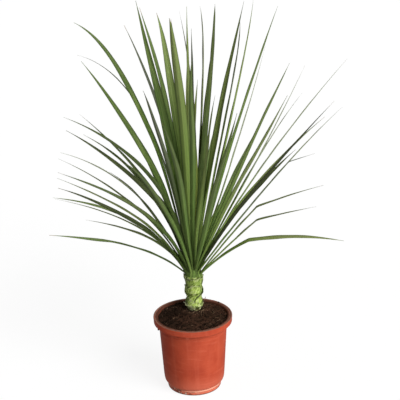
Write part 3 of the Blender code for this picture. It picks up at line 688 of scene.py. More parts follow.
collar = stubs(19, 7, (240.6, 244.6), (6, 12), (10, 17), 1.0, (0.1, 0.8), 0.010)
scraps = stubs(9, 9, (173.5, 178.0), (13, 20), (8, 15), 2.0, (0.0, 0.6), 0.009)
torn_collar = join_strips("torn_collar", collar + scraps)
print("collar stubs:", len(collar), "scraps:", len(scraps))


# %% Two dried bases that stand off the stem's foot
TONGUE_ROOT_RADIUS = 0.0125
TONGUE_THICKNESS = 0.0009


def tongue(turn, root_height, reach, rise, width):
    """A curved tongue: out by reach times s, up by rise times s^1.5, narrower by s^2, its edges curled."""
    outward = np.array([math.cos(math.radians(turn)), math.sin(math.radians(turn)), 0.0])
    side = np.array([-outward[1], outward[0], 0.0])
    u, under = [part[None, :, None] for part in ring_of(9)]
    s = np.linspace(0.0, 1.0, 16)[:, None, None]
    root = np.array([STEM_X, STEM_Y, root_height]) + TONGUE_ROOT_RADIUS * outward
    line = root + outward * reach * s + np.array([0.0, 0.0, 1.0]) * rise * s ** 1.5
    half = width / 2.0 * (1.0 - 0.85 * s ** 2) * (1.0 + 0.12 * np.sin(21.0 * s + 2.0 * u))
    curl = 0.4 * half * u ** 2 - under * TONGUE_THICKNESS * (1.0 - 0.6 * np.abs(u))
    points = line + side * half * u + outward * (TONGUE_THICKNESS - curl) * 0.9
    blank = np.zeros(points.shape[:2])
    # Painted shade on the under side
    marks = {"crevice_shade": blank + 0.3 * under[..., 0], "rim": blank + s[..., 0], "tone_and_light": blank + 0.2}
    return points, marks, np.stack([blank + u[..., 0], blank + s[..., 0]], axis=-1)


dry_base_left = join_strips("dry_base_left", [tongue(188.0, 0.1735, 0.010, 0.008, 0.007)])
dry_base_right = join_strips("dry_base_right", [tongue(352.0, 0.1720, 0.012, 0.020, 0.009)])
print("dried bases: 2")

# %% [markdown]
# ### Living and torn leaf bases
#
# The shields are painted pale yellow-green where the light would reach them, and painted olive shade in the
# joints. Their torn rims have dried to cream, and fine fibres run down them. A painted map would fix these
# tones
# to one view. Here three marks drive them: one is painted shade that grows where a shell is tucked in, one
# grows towards its torn rim, and one says how bright the whole shell is, its own tone together with painted
# light.

# %% The stem's finish
BASE_GREEN = (0.190, 0.300, 0.048)
BASE_BRIGHT = (0.600, 0.790, 0.170)
BASE_OLIVE = (0.040, 0.062, 0.012)
TORN_CREAM = (0.700, 0.730, 0.400)
# The two dried bases: their green, bright, olive and cream
STRAW = ((0.330, 0.260, 0.140), (0.620, 0.560, 0.400), (0.090, 0.055, 0.030), (0.700, 0.660, 0.520))
HUSK = ((0.070, 0.036, 0.032), (0.120, 0.070, 0.060), (0.020, 0.010, 0.010), (0.220, 0.140, 0.120))


def base_finish(name, green, bright, olive, cream):
    """Blotched green, brighter on some shells by tone and painted light, with painted shade where one is
    tucked in, and pale where one is torn.
    """
    material, tree, shader, where = new_finish(name, 0.50, 0.25)
    fibre = noise(tree, where, 420.0, 3.0, stretch=(1.0, 1.0, 0.12))
    blotch = noise(tree, where, 130.0, 4.0, 0.6)
    slant = {"Vector": where, "Rotation": (0.0, 0.70, 0.0), "Scale": (1.0, 1.0, 3.2)}
    strokes = noise(tree, add(tree, "Mapping", slant, vector_type="TEXTURE").outputs[0], 330.0, 2.0, 0.5)
    # Painted shade from the crevice shade mark, broken up by the strokes
    shade = maths(tree, "ADD", mark(tree, "crevice_shade"), times(tree, strokes, -0.6))
    # The brightness mark lifts the green towards the bright green: the shell's own tone together with painted
    # light
    colour = layered(
        tree, tint(tree, times(tree, mark(tree, "tone_and_light"), 0.85), green, bright),
        (blotch, 0.52, 0.70, 0.65, bright), (strokes, 0.52, 0.64, 0.55, cream),
        (blotch, 0.46, 0.32, 0.65, green), (strokes, 0.46, 0.35, 0.70, olive),
        (fibre, 0.50, 0.74, 0.35, olive), (shade, -0.10, 0.50, 0.92, olive))
    height = add(tree, "SeparateXYZ", {0: where}).outputs[2]
    dried = between(tree, mark(tree, "rim"), 0.2, 0.9)
    torn = times(tree, dried, between(tree, blotch, 0.32, 0.52, 0.3, 1.0))
    low = times(tree, between(tree, height, 0.184, 0.174), between(tree, blotch, 0.46, 0.56))
    soiled = times(tree, between(tree, height, 0.176, 0.168), between(tree, blotch, 0.56, 0.42))
    for amount, most, over in ((torn, 0.80, cream), (low, 0.85, cream), (soiled, 0.90, DIRT_AND_SHADOW)):
        colour = tint(tree, times(tree, amount, most), colour, over)
    dress(tree, shader, colour, between(tree, blotch, 0.3, 0.7, 0.42, 0.62), fibre, 0.0006)
    return material


stem_finish = base_finish("leaf_bases", BASE_GREEN, BASE_BRIGHT, BASE_OLIVE, TORN_CREAM)
place(stem_core, stem_finish, "stem_bases", "stem")
place(leaf_shields, stem_finish, "stem_bases")
place(torn_collar, stem_finish, "stem_bases")
place(dry_base_left, base_finish("dried_straw", *STRAW), "stem_bases")
place(dry_base_right, base_finish("dried_husk", *HUSK), "stem_bases")

# %% [markdown]
# ## The leaves
#
# Every leaf starts on the crown and ends at a tip of its own: where the viewer sees the tip, and how far it
# stands in front of or behind the stem. The tips were read from the photograph. A fitting program then
# moved them by up to 11 mm and settled the other numbers of each row, to match the photograph's outline, and
# some rows were changed again. Between root and tip the leaf follows a quadratic curve in the upright
# plane through both. A hair system or a geometry-nodes scatter would be quicker, but it would lose this
# plant's outline.

# %% The sizes that shape every leaf
CROWN_HEIGHT = 0.250
CROWN = np.array([STEM_X, STEM_Y, CROWN_HEIGHT])
WIDEST_LEAF = 0.0150
LEAF_THICKNESS = 0.0008
CROWN_RADIUS = 0.0195
SUNK_ROOT = 0.006
# Leaves that lean less than this many degrees belong to the young heart
HEART_LEAN = 9.0
HEART_BASE_HEIGHT = 0.2793
HIDDEN_WIDTH = 80
YOUNG_WIDTH = 85
YOUNG_LEAVES = 6
# Each leaf of a spiral stands this many degrees round from the last
GOLDEN_TURN = 137.508
EYE = np.array([0.0, -1.98, 1.12])
FOLDED = 0.8
print("widest leaf:", 1000 * WIDEST_LEAF, "mm")

# %% Where the tips are
# Each row: across and height on an upright board through the stem, and how far the tip stands in front of it,
# in millimetres; the arch as percent of the length; how far the face turns to the front, in degrees; the
# width as percent of the widest; and where the curve has its knee, as percent of the length
OUTLINE_LEAVES = [
    (-223, 793, 20, 8.1, 56, 83, 80), (-221, 728, -40, 13.4, -19, 56, 79), (-213, 715, 95, 5.3, 77, 95, 50),
    (-124, 785, -60, 5.3, 38, 56, 61), (-99, 833, -10, 1.3, 78, 118, 52), (-92, 819, -70, 3.3, -5, 116, 57),
    (-59, 808, -135, 5.2, 10, 119, 73), (-92, 652, 245, 3, -14, 60, 78), (-34, 797, 180, 4.8, -12, 118, 81),
    (-31, 795, -125, 3.9, -30, 96, 70), (-14, 810, -20, 5.8, -65, 86, 63), (1, 819, 105, 1.1, 47, 75, 56),
    (9, 775, -220, 1.6, 45, 75, 57), (27, 819, -5, -1.9, -2, 62, 89), (57, 823, 115, -1.4, 33, 108, 87),
    (54, 639, 270, 4.2, -75, 77, 59), (114, 826, 55, 1.1, 68, 118, 46), (105, 793, -145, -3.5, -38, 50, 90),
    (133, 833, -75, -1.6, -34, 83, 76), (181, 815, 50, 0.9, -15, 74, 69), (156, 736, -270, -2.1, -78, 48, 50),
    (98, 600, 330, 0.5, -9, 80, 41), (205, 701, 205, 0.2, 14, 100, 61), (236, 695, -135, -1.2, -39, 48, 63),
    (201, 634, 255, 0.6, -8, 72, 52), (231, 638, -270, 3.2, -49, 50, 69), (139, 566, -315, 3, 54, 98, 49),
    (321, 706, 15, 2.8, -12, 57, 48), (297, 620, 180, 2.3, -12, 99, 42), (314, 607, -10, 2, -22, 57, 67),
    (278, 587, -135, 5.9, 10, 83, 47), (219, 519, -310, 5.2, -2, 94, 44), (324, 312, 115, 14.4, 24, 100, 43),
    (-256, 601, 125, 12.8, -22, 110, 51), (-223, 606, -260, 10.4, -15, 102, 40),
    (-253, 573, 105, 10.1, 66, 83, 43), (-218, 563, -150, 12.8, -1, 94, 51),
    (-268, 526, 10, 12.1, 11, 53, 60), (-273, 513, -35, 9.4, -48, 70, 43),
    (-276, 483, 165, 9.9, -29, 110, 34), (-279, 471, 5, 9.4, -41, 88, 36),
    (-278, 449, 170, 7.2, 71, 72, 48), (-290, 428, 140, 10.7, 14, 118, 47),
    (-286, 425, -20, 11.6, -24, 80, 36), (-224, 376, -165, 11.1, -55, 102, 28),
    (-304, 344, 80, 7.9, -12, 84, 36), (-169, 481, -120, 8.4, 16, 45, 60),
]
# Three leaves are folded over at their knee
FOLDED_LEAVES = [
    (258, 509, 210, 6, 22, 62, 85), (278, 439, 120, 11.8, 9, 73, 59), (263, 392, 165, 10.1, 15, 72, 59),
]
# One leaf of the outline is bent more sharply than a plain curve: its number, and how nearly it is folded
HALF_FOLDED = {32: 0.45}
# One leaf turns its face to the viewer only beyond its middle: its number, and by how many degrees
LATE_TURN = {45: 70.0}
# Leaves in line with one of the outline, as the viewer sees them: number of that leaf, how much of its length
# they cover in percent, and how far their tip stands in front of the stem. A program picked them, as long
# leaves that stay within the outline and stand apart
LEAVES_IN_LINE = [
    (4, 84, -380), (11, 54, -380), (35, 66, -380), (24, 48, -380), (2, 78, -380), (14, 54, -300),
    (36, 72, 310), (4, 84, -260), (7, 48, -380), (2, 78, -140), (8, 90, -340), (16, 66, -380), (8, 60, -380),
    (15, 54, -380), (7, 72, -380), (6, 90, -220), (3, 54, 310), (8, 78, -380), (12, 84, 270), (2, 66, -220),
    (36, 54, -380),
]
print("leaves:", len(OUTLINE_LEAVES) + len(FOLDED_LEAVES) + len(LEAVES_IN_LINE) + YOUNG_LEAVES)


# %% From a row to a leaf's middle line
def seen_tip(across, height, in_front):
    """The tip on the viewer's line of sight through its place on the board."""
    on_board = np.array([STEM_X + across / 1000.0, STEM_Y, height / 1000.0])
    return EYE + (on_board - EYE) * (1.0 - in_front / 1000.0 / (STEM_Y - EYE[1]))


def leaned_tip(turn, lean, length):
    """The tip of a leaf that leans out by an angle, towards a compass turn, both in degrees."""
    turn, lean = math.radians(turn), math.radians(lean)
    out = math.sin(lean)
    return CROWN + length * np.array([out * math.cos(turn), out * math.sin(turn), math.cos(lean)])


def directions(tip):
    """Compass turn in radians, lean from upright in degrees, and the outward and sideways directions."""
    outward = tip - CROWN
    turn = math.atan2(outward[1], outward[0])
    lean = math.degrees(math.atan2(math.hypot(outward[0], outward[1]), outward[2]))
    radial = np.array([math.cos(turn), math.sin(turn), 0.0])
    side = np.array([-math.sin(turn), math.cos(turn), 0.0])
    return turn, lean, radial, side


def leaf_line(tip, arch, knee_place, folded, stations):
    """The middle line: (1-s)^2 of the root, 2s(1-s) of the knee and s^2 of the tip, for s from 0 to 1.

    The knee lies off the straight line from root to tip, upwards, by twice the arch. By the share that it is
    folded, from 0 to 1, the line becomes two straight stretches that meet at a bend.
    """
    _, lean, radial, side = directions(tip)
    young = lean < HEART_LEAN
    if young:
        root = np.array([STEM_X, STEM_Y, HEART_BASE_HEIGHT + 0.004]) + 0.0025 * radial
    else:
        root_height = CROWN_HEIGHT + 0.023 * (1.0 - smooth_step(lean, 8.0, 60.0))
        root_radius = 0.010 + 0.009 * smooth_step(lean, 8.0, 70.0)
        root = np.array([STEM_X, STEM_Y, root_height]) + root_radius * radial
    chord = tip - root
    length = np.linalg.norm(chord)
    upward = np.cross(chord, side)
    upward /= np.linalg.norm(upward)
    where = knee_place / 100.0
    knee = root + where * chord + 0.02 * arch * length * upward
    if not young:
        start = knee - root
        root = root - SUNK_ROOT * start / np.linalg.norm(start)
    s = np.asarray(stations)[:, None]
    line = (1 - s) ** 2 * root + 2 * s * (1 - s) * knee + s ** 2 * tip
    bend = root + where * chord + 0.011 * arch * length * upward
    below = root + (bend - root) * s / where
    above = bend + (tip - bend) * (s - where) / (1 - where)
    return (1.0 - folded) * line + folded * np.where(s < where, below, above), length


# %% The plan of the whole head
def usual_knee(tip):
    """The knee of an untouched leaf: far along an upright leaf, and nearer the stem on one that leans out."""
    return 68.0 - 33.0 * smooth_step(directions(tip)[1], 20.0, 85.0)


def leaf_plan():
    """Every leaf: its tip, arch, turn to the front, width, knee place, and how nearly it is folded."""
    plan = [(seen_tip(*row[:3]), *row[3:], HALF_FOLDED.get(n, 0.0)) for n, row in enumerate(OUTLINE_LEAVES)]
    plan += [(seen_tip(*row[:3]), *row[3:], FOLDED) for row in FOLDED_LEAVES]
    for number, share, in_front in LEAVES_IN_LINE:
        tip, arch, _, _, knee_place, folded = plan[number]
        seen = leaf_line(tip, arch, knee_place, folded, [share / 100.0])[0][0]
        stretch = (STEM_Y - in_front / 1000.0 - EYE[1]) / (seen[1] - EYE[1])
        hidden = EYE + (seen - EYE) * stretch
        plan.append((hidden, 2.0 + directions(hidden)[1] / 9.0, 0.0, HIDDEN_WIDTH, usual_knee(hidden), 0.0))
    for number in range(YOUNG_LEAVES):
        share = (number + 0.5) / YOUNG_LEAVES
        tip = leaned_tip(40.0 + GOLDEN_TURN * number, 1.5 + 5.0 * share, 0.36 + 0.16 * share)
        plan.append((tip, 1.0, 0.0, YOUNG_WIDTH, usual_knee(tip), 0.0))
    return plan


plan = leaf_plan()
leans = np.array([directions(row[0])[1] for row in plan])
print("lean from", leans.min().round(1), "to", leans.max().round(1), "degrees")

# %% [markdown]
# ### The blade
#
# A blade is a strip with a gutter: it leaves the crown as a deep channel, opens out, and closes again
# towards its point. It could be a flat plane with Solidify. Working out the upper and the under side together
# gives it what a plane lacks: thin edges, a keel beneath the middle, and a slight drift and ripple, so no two
# blades match.

# %% One blade, with the sheath that carries it up the crown
ALONG = 58
SHEATH_ROWS = 11
ACROSS = 9
COLLAR_HEIGHT = 0.2385
CLASP_HALF_WIDTH = 0.0038
NARROWEST_HALF = 0.0004
# One unit of the leaves' UV maps runs over this length of leaf
UV_LENGTH = 0.1
# Each leaf draws where its drift and its ripple start, in radians, from 0 to this
FULL_TURN = 6.28


def sheath_line(start, heading, turn, lean):
    """The way up from the stem's collar to the blade: a Hermite curve that leaves the collar straight up.

    The sheaths start at slightly different distances from the axis, so that each overlaps the next.
    """
    t = np.linspace(0.0, 1.0, SHEATH_ROWS, endpoint=False)[:, None]
    radius = 0.0172 + 0.0018 * smooth_step(lean, 8.0, 70.0) + 0.0006 * math.sin(5.0 * math.degrees(turn))
    foot = np.array([STEM_X + radius * math.cos(turn), STEM_Y + radius * math.sin(turn), COLLAR_HEIGHT])
    reach = np.linalg.norm(start - foot)
    rising = np.array([0.0, 0.0, 1.0])
    return (
        (2 * t ** 3 - 3 * t ** 2 + 1) * foot + (t ** 3 - 2 * t ** 2 + t) * reach * rising
        + (3 * t ** 2 - 2 * t ** 3) * start + (t ** 3 - t ** 2) * reach * heading)


def blade(leaf_number, tip, arch, show, width, knee_place, folded):
    """The points of one blade, and the marks that its finish reads.

    At each station the strip turns about its line by an angle that grows to the middle of the leaf. Across
    it, u runs from -1 to 1: a point lies u half-widths aside, and 0.45 |u| + 0.55 u^2 times the gutter up.
    The under side lies a thickness lower, least at the edges and most under the middle. The sheath clasps
    the crown: it is wider, and nearly as hollow as the crown is round.
    """
    turn, lean, _, side = directions(tip)
    young = lean < HEART_LEAN
    s = np.linspace(0.0 if young else 0.016, 1.0, ALONG)
    line, length = leaf_line(tip, arch, knee_place, folded, s)
    heading = (line[1] - line[0]) / np.linalg.norm(line[1] - line[0])
    if young:
        sheath = line[0] - heading * 0.003 * np.linspace(1.0, 0.0, SHEATH_ROWS, endpoint=False)[:, None]
        clasp = np.zeros((SHEATH_ROWS + ALONG, 1))
    else:
        sheath = sheath_line(line[0], heading, turn, lean)
        clasp = 1.0 - smooth_step(np.arange(SHEATH_ROWS + ALONG)[:, None], 0, SHEATH_ROWS + 4)
    line = np.vstack([sheath, line])
    s = np.concatenate([np.zeros(SHEATH_ROWS), s])[:, None]
    along = np.gradient(line, axis=0)
    along /= np.linalg.norm(along, axis=1)[:, None]
    face = np.cross(along, side)
    own = np.random.default_rng(1000 + leaf_number)
    shown = show * smooth_step(s, 0.0, 0.6) + LATE_TURN.get(leaf_number, 0.0) * smooth_step(s, 0.52, 0.82)
    towards_front = 1.0 if math.cos(turn) > 0.0 else -1.0
    twist = np.radians(towards_front * shown + own.uniform(-14.0, 14.0) * smooth_step(s, 0.45, 1.0))
    widest = WIDEST_LEAF * (0.72 + 0.28 * smooth_step(length, 0.20, 0.58)) * width / 100.0
    across = side * np.cos(twist) + face * np.sin(twist)
    upper = face * np.cos(twist) - side * np.sin(twist)
    swell = 0.60 + 0.40 * smooth_step(s, 0.0, 0.40)
    taper = 1.0 - np.clip((s - 0.42) / 0.58, 0.0, 1.0) ** 1.9
    free_half = np.maximum(widest / 2.0 * swell * taper, NARROWEST_HALF)
    half = free_half * (1.0 - clasp) + CLASP_HALF_WIDTH * clasp
    gutter = half * (0.80 - 0.55 * s) * (1.0 - clasp) + half ** 2 / CROWN_RADIUS * clasp
    drift = 0.0022 * np.sin(np.pi * s) * np.sin(2.2 * np.pi * s + own.uniform(0.0, FULL_TURN))
    line = line + across * drift
    u, under = [part[None, :] for part in ring_of(ACROSS)]
    ripple = 0.00035 * np.sin(34.0 * s + own.uniform(0.0, FULL_TURN)) * u ** 3 * np.sin(np.pi * s)
    lift = gutter * (0.45 * np.abs(u) + 0.55 * u ** 2) + ripple
    keel = (0.35 + 0.65 * np.exp(-(u / 0.28) ** 2)) * np.minimum(1.0, half / 0.003)
    lift = lift - under * LEAF_THICKNESS * keel
    points = line[:, None] + across[:, None] * (half * u)[..., None] + upper[:, None] * lift[..., None]
    blank = np.zeros_like(lift)
    tone = LEAF_TONES[leaf_number] if leaf_number < len(LEAF_TONES) else own.uniform(*HIDDEN_TONES)
    low_tone = own.choice(LOW_TONES)
    tone = tone / PALEST + (low_tone - tone / PALEST) * (1.0 - smooth_step(s, 0.02, 0.16))
    marks = {
        "along": blank + s, "under": blank + under, "tone": blank + tone,
        "dry": blank + own.uniform(0.0, 1.0), "edge": blank + np.abs(u), "sheath": blank + clasp,
        "age": blank + smooth_step(lean, 12.0, 60.0), "narrow": blank + 1.0 - smooth_step(width, 48.0, 76.0)}
    steps = np.linalg.norm(np.diff(line, axis=0), axis=1)
    way = np.concatenate([[0.0], np.cumsum(steps)])[:, None]
    uv = np.stack([(u + 1.0) / 2.0 + blank, way / UV_LENGTH + blank + leaf_number * 0.37], axis=-1)
    return points, marks, uv


# %% All blades
# How dark or pale the leaves of the outline are painted, their green together with the light and shade on
# them, from 0 to 9 and below 0 for painted shade, in the order of their rows. A program set them, by
# comparing the brightness of each leaf in renders with that in the photograph
PALEST = 9.0
LEAF_TONES = [
    2, 9, 2, -2, 3, 3, 7, -2, 9, -2, 9, 9, -5, 9, -2, 9, 9, 9, 9, 3, 9, 4, 6, 9, 9, 9, 2, 9, -4, 9,
    9, -2, 9, 2, 3, -3, 2, 9, 9, 3, 9, -3, 6, 9, 9, 4, 9, 4, 9, 9,
]
# The other leaves have a tone between these two, and every leaf has one of the low tones near its root
HIDDEN_TONES = (2.0, 7.0)
LOW_TONES = [-0.10, 0.05, 0.40, 0.85]
blades = [blade(number, *row) for number, row in enumerate(plan)]
is_young = leans < HEART_LEAN
leaf_blades = join_strips("leaf_blades", [made for made, young in zip(blades, is_young) if not young])
young_blades = join_strips("young_blades", [made for made, young in zip(blades, is_young) if young])
print("mature:", int((~is_young).sum()), "young:", int(is_young.sum()))

# %% [markdown]
# ### Leaf green
#
# A cordyline's blade is leathery, with many fine parallel veins and no strong midrib. The green differs from
# leaf to leaf, partly as tone and partly as painted light and shade, pales to yellow-green at the base, and a
# few points have dried brown. The veins follow the blade, so they read its UV map: a noise that is squeezed
# across the blade and drawn out along it.

# %% The leaves' finish
LEAF_GREEN = (0.140, 0.258, 0.050)
LEAF_DARK = (0.033, 0.064, 0.009)
LEAF_OLIVE = (0.310, 0.450, 0.100)
LEAF_UNDER = (0.150, 0.215, 0.060)
LEAF_BASE = (0.260, 0.400, 0.070)
# Leaves that lean out are older: their green is multiplied by this, and is greyer
LEAF_AGED = (1.000, 0.820, 1.300)
# A grey painted sheen on the narrow leaves
LEAF_SHEEN = (0.330, 0.345, 0.290)
LEAF_SHADED = (0.036, 0.042, 0.018)
DRY_TIP = (0.260, 0.170, 0.070)
YOUNG_GREENS = ((0.160, 0.235, 0.042), (0.070, 0.115, 0.018), (0.290, 0.360, 0.080))


def leaf_finish(name, green, dark, olive):
    """The finish of a blade: three greens by leaf that also carry painted light and shade, veins along it,
    painted shade on its margins, a painted sheen on the narrow leaves, a paler base, and a dried point.
    """
    material, tree, shader, _ = new_finish(name, 0.42, 0.13)
    uv = add(tree, "UVMap", uv_map="UVMap").outputs[0]
    vein = noise(tree, uv, 1.0, 2.0, stretch=(46.0, 0.5, 1.0))
    ribs = noise(tree, uv, 1.0, 1.0, stretch=(14.0, 0.25, 1.0))
    cloud = noise(tree, uv, 1.0, 3.0, stretch=(2.0, 1.4, 1.0))
    tone = mark(tree, "tone")
    along = mark(tree, "along")
    sheath = mark(tree, "sheath")
    colour = layered(
        tree, green, (tone, 0.50, 1.0, 1.0, olive), (tone, 0.50, 0.0, 0.95, dark),
        (cloud, 0.40, 0.68, 0.40, olive), (ribs, 0.44, 0.62, 0.40, dark), (vein, 0.45, 0.70, 0.35, olive))
    # Painted shade: darker towards the margins, where the blade folds, and on the sheaths
    edge = maths(tree, "ADD", mark(tree, "edge"), times(tree, sheath, 0.45))
    colour = layered(tree, colour, (edge, 0.60, 1.1, 0.92, dark))
    colour = tint(tree, times(tree, mark(tree, "under"), 0.30), colour, LEAF_UNDER)
    age = between(tree, mark(tree, "age"), 0.0, 1.0, 0.65, 1.0)
    aged = times(tree, age, between(tree, along, 0.25, 0.65))
    colour = tint(tree, aged, colour, LEAF_AGED, "MULTIPLY")
    # Painted sheen on the narrow leaves, growing along the blade
    painted_sheen = times(tree, mark(tree, "narrow"), between(tree, along, 0.20, 0.60, 0.0, 0.55))
    colour = tint(tree, painted_sheen, colour, LEAF_SHEEN)
    colour = layered(tree, colour, (tone, 0.0, -0.5, 0.85, LEAF_SHADED))
    pale = times(tree, between(tree, sheath, 0.85, 1.0), between(tree, vein, 0.55, 0.40, 0.0, 0.45))
    colour = tint(tree, pale, colour, LEAF_BASE)
    dry = times(tree, between(tree, mark(tree, "dry"), 0.60, 0.75), between(tree, along, 0.955, 0.985))
    colour = tint(tree, times(tree, dry, 0.9), colour, DRY_TIP)
    dress(tree, shader, colour, between(tree, cloud, 0.3, 0.7, 0.38, 0.52), vein, 0.00030)
    return material


leaf_green = leaf_finish("cordyline_blade", LEAF_GREEN, LEAF_DARK, LEAF_OLIVE)
place(leaf_blades, leaf_green, "leaf_green", "leaf_head")
place(young_blades, leaf_finish("young_blade", *YOUNG_GREENS), "heart_green", "heart_leaves")

# %% [markdown]
# ## The crown
#
# Above the collar the sheaths of all leaves are wrapped round each other. The outer ones are the lower ends
# of the blades above. What shows between them is the next layer down, so the crown itself can be one dark
# cone with upright straps and painted shade in the joints between them, a second turned surface of the stem's
# kind.

# %% The crown's surface
STRAPS = 17
CROWN_COLUMNS = 180
# Height and radius of the cone under the straps, and how many degrees half a strap covers at a height
CROWN_PROFILE = np.array([
    (0.238, 0.0156), (0.2400, 0.0160), (0.250, 0.0150), (0.262, 0.0118), (HEART_BASE_HEIGHT, 0.0070)])
STRAP_PROFILE = np.array([(0.238, 26.0), (0.258, 20.0), (0.280, 16.0)])

crown_heights = np.linspace(STEM_TOP_HEIGHT - 0.0060, HEART_BASE_HEIGHT - 0.0003, 70)[:, None]
turn_grid, height_grid = np.broadcast_arrays(full_circle(CROWN_COLUMNS), crown_heights)
half_width = np.interp(height_grid, *STRAP_PROFILE.T)
straps = np.zeros_like(height_grid)
for number in range(STRAPS):
    aside = np.abs((np.degrees(turn_grid) - GOLDEN_TURN * number + 180.0) % 360.0 - 180.0)
    thick = (0.0014 + 0.00012 * (number % 5)) * (1.0 - 0.5 * (aside / half_width) ** 2)
    straps = np.maximum(straps, thick * (1.0 - smooth_step(aside, 0.88 * half_width, half_width)))
crown_radius = np.interp(height_grid, *CROWN_PROFILE.T) + straps
# Painted shade in the joints between the straps: darker tone and a full edge mark there
joint = np.clip((blurred(crown_radius, 4) - crown_radius) / 0.0004, 0.0, 1.0)
blank = np.zeros_like(joint)
crown_marks = {
    "along": blank + 0.1, "under": blank, "tone": 0.20 - 0.20 * joint, "dry": blank, "edge": joint,
    "sheath": blank, "age": blank, "narrow": blank}
crown_uv = np.stack([turn_grid * 1.2, height_grid / UV_LENGTH], axis=-1)
points, faces, marks = with_ends(turned(crown_radius, turn_grid, height_grid, STEM_AXIS), crown_marks)
crown_uv = np.vstack([crown_uv.reshape(-1, 2), np.zeros((2, 2))])
crown_sheaths = new_piece("crown_sheaths", points, faces, marks, crown_uv, sharp=60)
place(crown_sheaths, leaf_green, "leaf_green")

# %% [markdown]
# ## The soil
#
# The pot is filled with peaty potting mix, a little higher at the back and banked round the stem. A plane
# with displacement would do for a distant view. This soil is a closed body like the real one: it fills the
# pot down to the drain holes, leaves the stem's hole open, and its top is a height field of lumps on lumps.

# %% The soil's body
SOIL_BELOW_RIM = 0.006
SOIL_TILT = 0.004
SOIL_MOUND = 0.007
SOIL_MOUND_RADIUS = 0.026
SOIL_LUMPS = 0.0010
FIT_GAP = 0.0003


def soil_height(x, y):
    """Height of the soil: it rises to the back, is banked up round the stem, and is lumpy."""
    from_stem = np.hypot(x - STEM_X, y - STEM_Y)
    lumps = np.sin(310 * x + 1.3) * np.cos(270 * y) + 0.25 * np.sin(520 * y - 410 * x)
    level = POT_HEIGHT - SOIL_BELOW_RIM + SOIL_TILT * y / SHOULDER_RADIUS
    bank = SOIL_MOUND * np.exp(-(from_stem / SOIL_MOUND_RADIUS) ** 2)
    return level + bank + SOIL_LUMPS * lumps


def pot_inner_radius(height):
    """Radius of the pot's inner wall at a height."""
    return np.interp(
        height, [0.0188, SHOULDER_HEIGHT, POT_HEIGHT - 0.0014],
        [WAIST_RADIUS - WALL, SHOULDER_RADIUS - WALL, RIM_RADIUS - RIM_LIP_WIDTH])


SOIL_COLUMNS = 300
SOIL_ROWS = 120
soil_turns = full_circle(SOIL_COLUMNS)
share = np.linspace(0.0, 1.0, SOIL_ROWS)[:, None]
hole = STEM_BURIED_RADIUS + FIT_GAP
edge = pot_inner_radius(POT_HEIGHT - SOIL_BELOW_RIM) - FIT_GAP
x = (1 - share) * (STEM_X + hole * np.cos(soil_turns)) + share * edge * np.cos(soil_turns)
y = (1 - share) * (STEM_Y + hole * np.sin(soil_turns)) + share * edge * np.sin(soil_turns)
lumps = 0.0011 * rough(x, y, 0.0085, 51, 4) + 0.0005 * np.abs(rough(x, y, 0.0030, 57, 3))
top = soil_height(x, y) + lumps
# Painted shade: how far a place lies below the average of its neighbours, to darken the hollows
pits = np.clip((blurred(top, 3) - top) / 0.0006, -1.0, 1.0)
print("soil top from", (1000 * top.min()).round(1), "to", (1000 * top.max()).round(1), "mm")

# %% Close the soil: down the stem's hole inside, and down the pot's wall outside
HOLE_LEVELS = np.array([STEM_FOOT_HEIGHT, 0.140])[:, None]
SOIL_FOOT_RADIUS = foot_inside - 0.0014
# Height and radius of the soil's side at each level of the wall
side_profile = np.array([
    (0.150, pot_inner_radius(0.150) - FIT_GAP), (0.085, pot_inner_radius(0.085) - FIT_GAP),
    (WAIST_HEIGHT + 0.002, WAIST_RADIUS - WALL - FIT_GAP), (FOOT_HEIGHT + 0.001, SOIL_FOOT_RADIUS),
    (FLOOR + CHANNEL_DEPTH + FIT_GAP, SOIL_FOOT_RADIUS)])
hole_rows = turned(hole, soil_turns, HOLE_LEVELS, STEM_AXIS)
side_rows = turned(side_profile[:, 1, None], soil_turns, side_profile[:, 0, None])
soil_points = np.concatenate([hole_rows, np.stack([x, y, top], axis=-1), side_rows])
soil_pits = np.pad(pits, ((len(hole_rows), len(side_rows)), (0, 0)))
points, faces, marks = with_ends(soil_points[::-1], {"pit": soil_pits[::-1]})
soil_bed = new_piece("soil_bed", points, faces, marks)
print("soil faces:", len(soil_bed.data.polygons))


# %% The soil's finish
SOIL_BROWN = (0.042, 0.022, 0.013)
SOIL_RED = (0.082, 0.038, 0.023)
SOIL_BLACK = (0.008, 0.005, 0.003)
SOIL_DRY = (0.150, 0.088, 0.058)
CRUMB_BROWN = (0.050, 0.026, 0.016)


def earth_finish(name, brown, dry_share):
    """Peat: brown with red and black grains and dry specks, darker by its pit mark (painted shade in the
    soil's hollows), with a painted shadow on the left and round the stem.
    """
    material, tree, shader, where = new_finish(name, 0.92, 0.05)
    grains = noise(tree, where, 520.0, 4.0, 0.65)
    patches = noise(tree, where, 60.0, 3.0)
    side = add(tree, "SeparateXYZ", {0: where}).outputs[0]
    specks = add(tree, "TexVoronoi", {"Vector": where, "Scale": 430.0}).outputs["Distance"]
    stem_foot = {0: where, 1: (STEM_X, STEM_Y, 0.166)}
    from_stem = add(tree, "VectorMath", stem_foot, operation="DISTANCE").outputs["Value"]
    # Painted shade in the soil's hollows by the pit mark, and a painted shadow on the left and round the stem
    colour = layered(
        tree, brown, (patches, 0.35, 0.68, 1.0, SOIL_RED), (grains, 0.52, 0.72, 1.0, SOIL_BLACK),
        (mark(tree, "pit"), 0.05, 0.7, 0.85, SOIL_BLACK), (grains, 0.40, 0.24, dry_share, SOIL_DRY),
        (side, 0.000, -0.045, 0.55, SOIL_BLACK), (from_stem, 0.024, 0.017, 0.75, SOIL_BLACK))
    relief = maths(tree, "ADD", grains, times(tree, specks, 0.6))
    dress(tree, shader, colour, between(tree, grains, 0.3, 0.7, 0.85, 1.0), relief, 0.0016)
    return material


place(soil_bed, earth_finish("peat_mix", SOIL_BROWN, 0.45), "potting_mix", "soil")

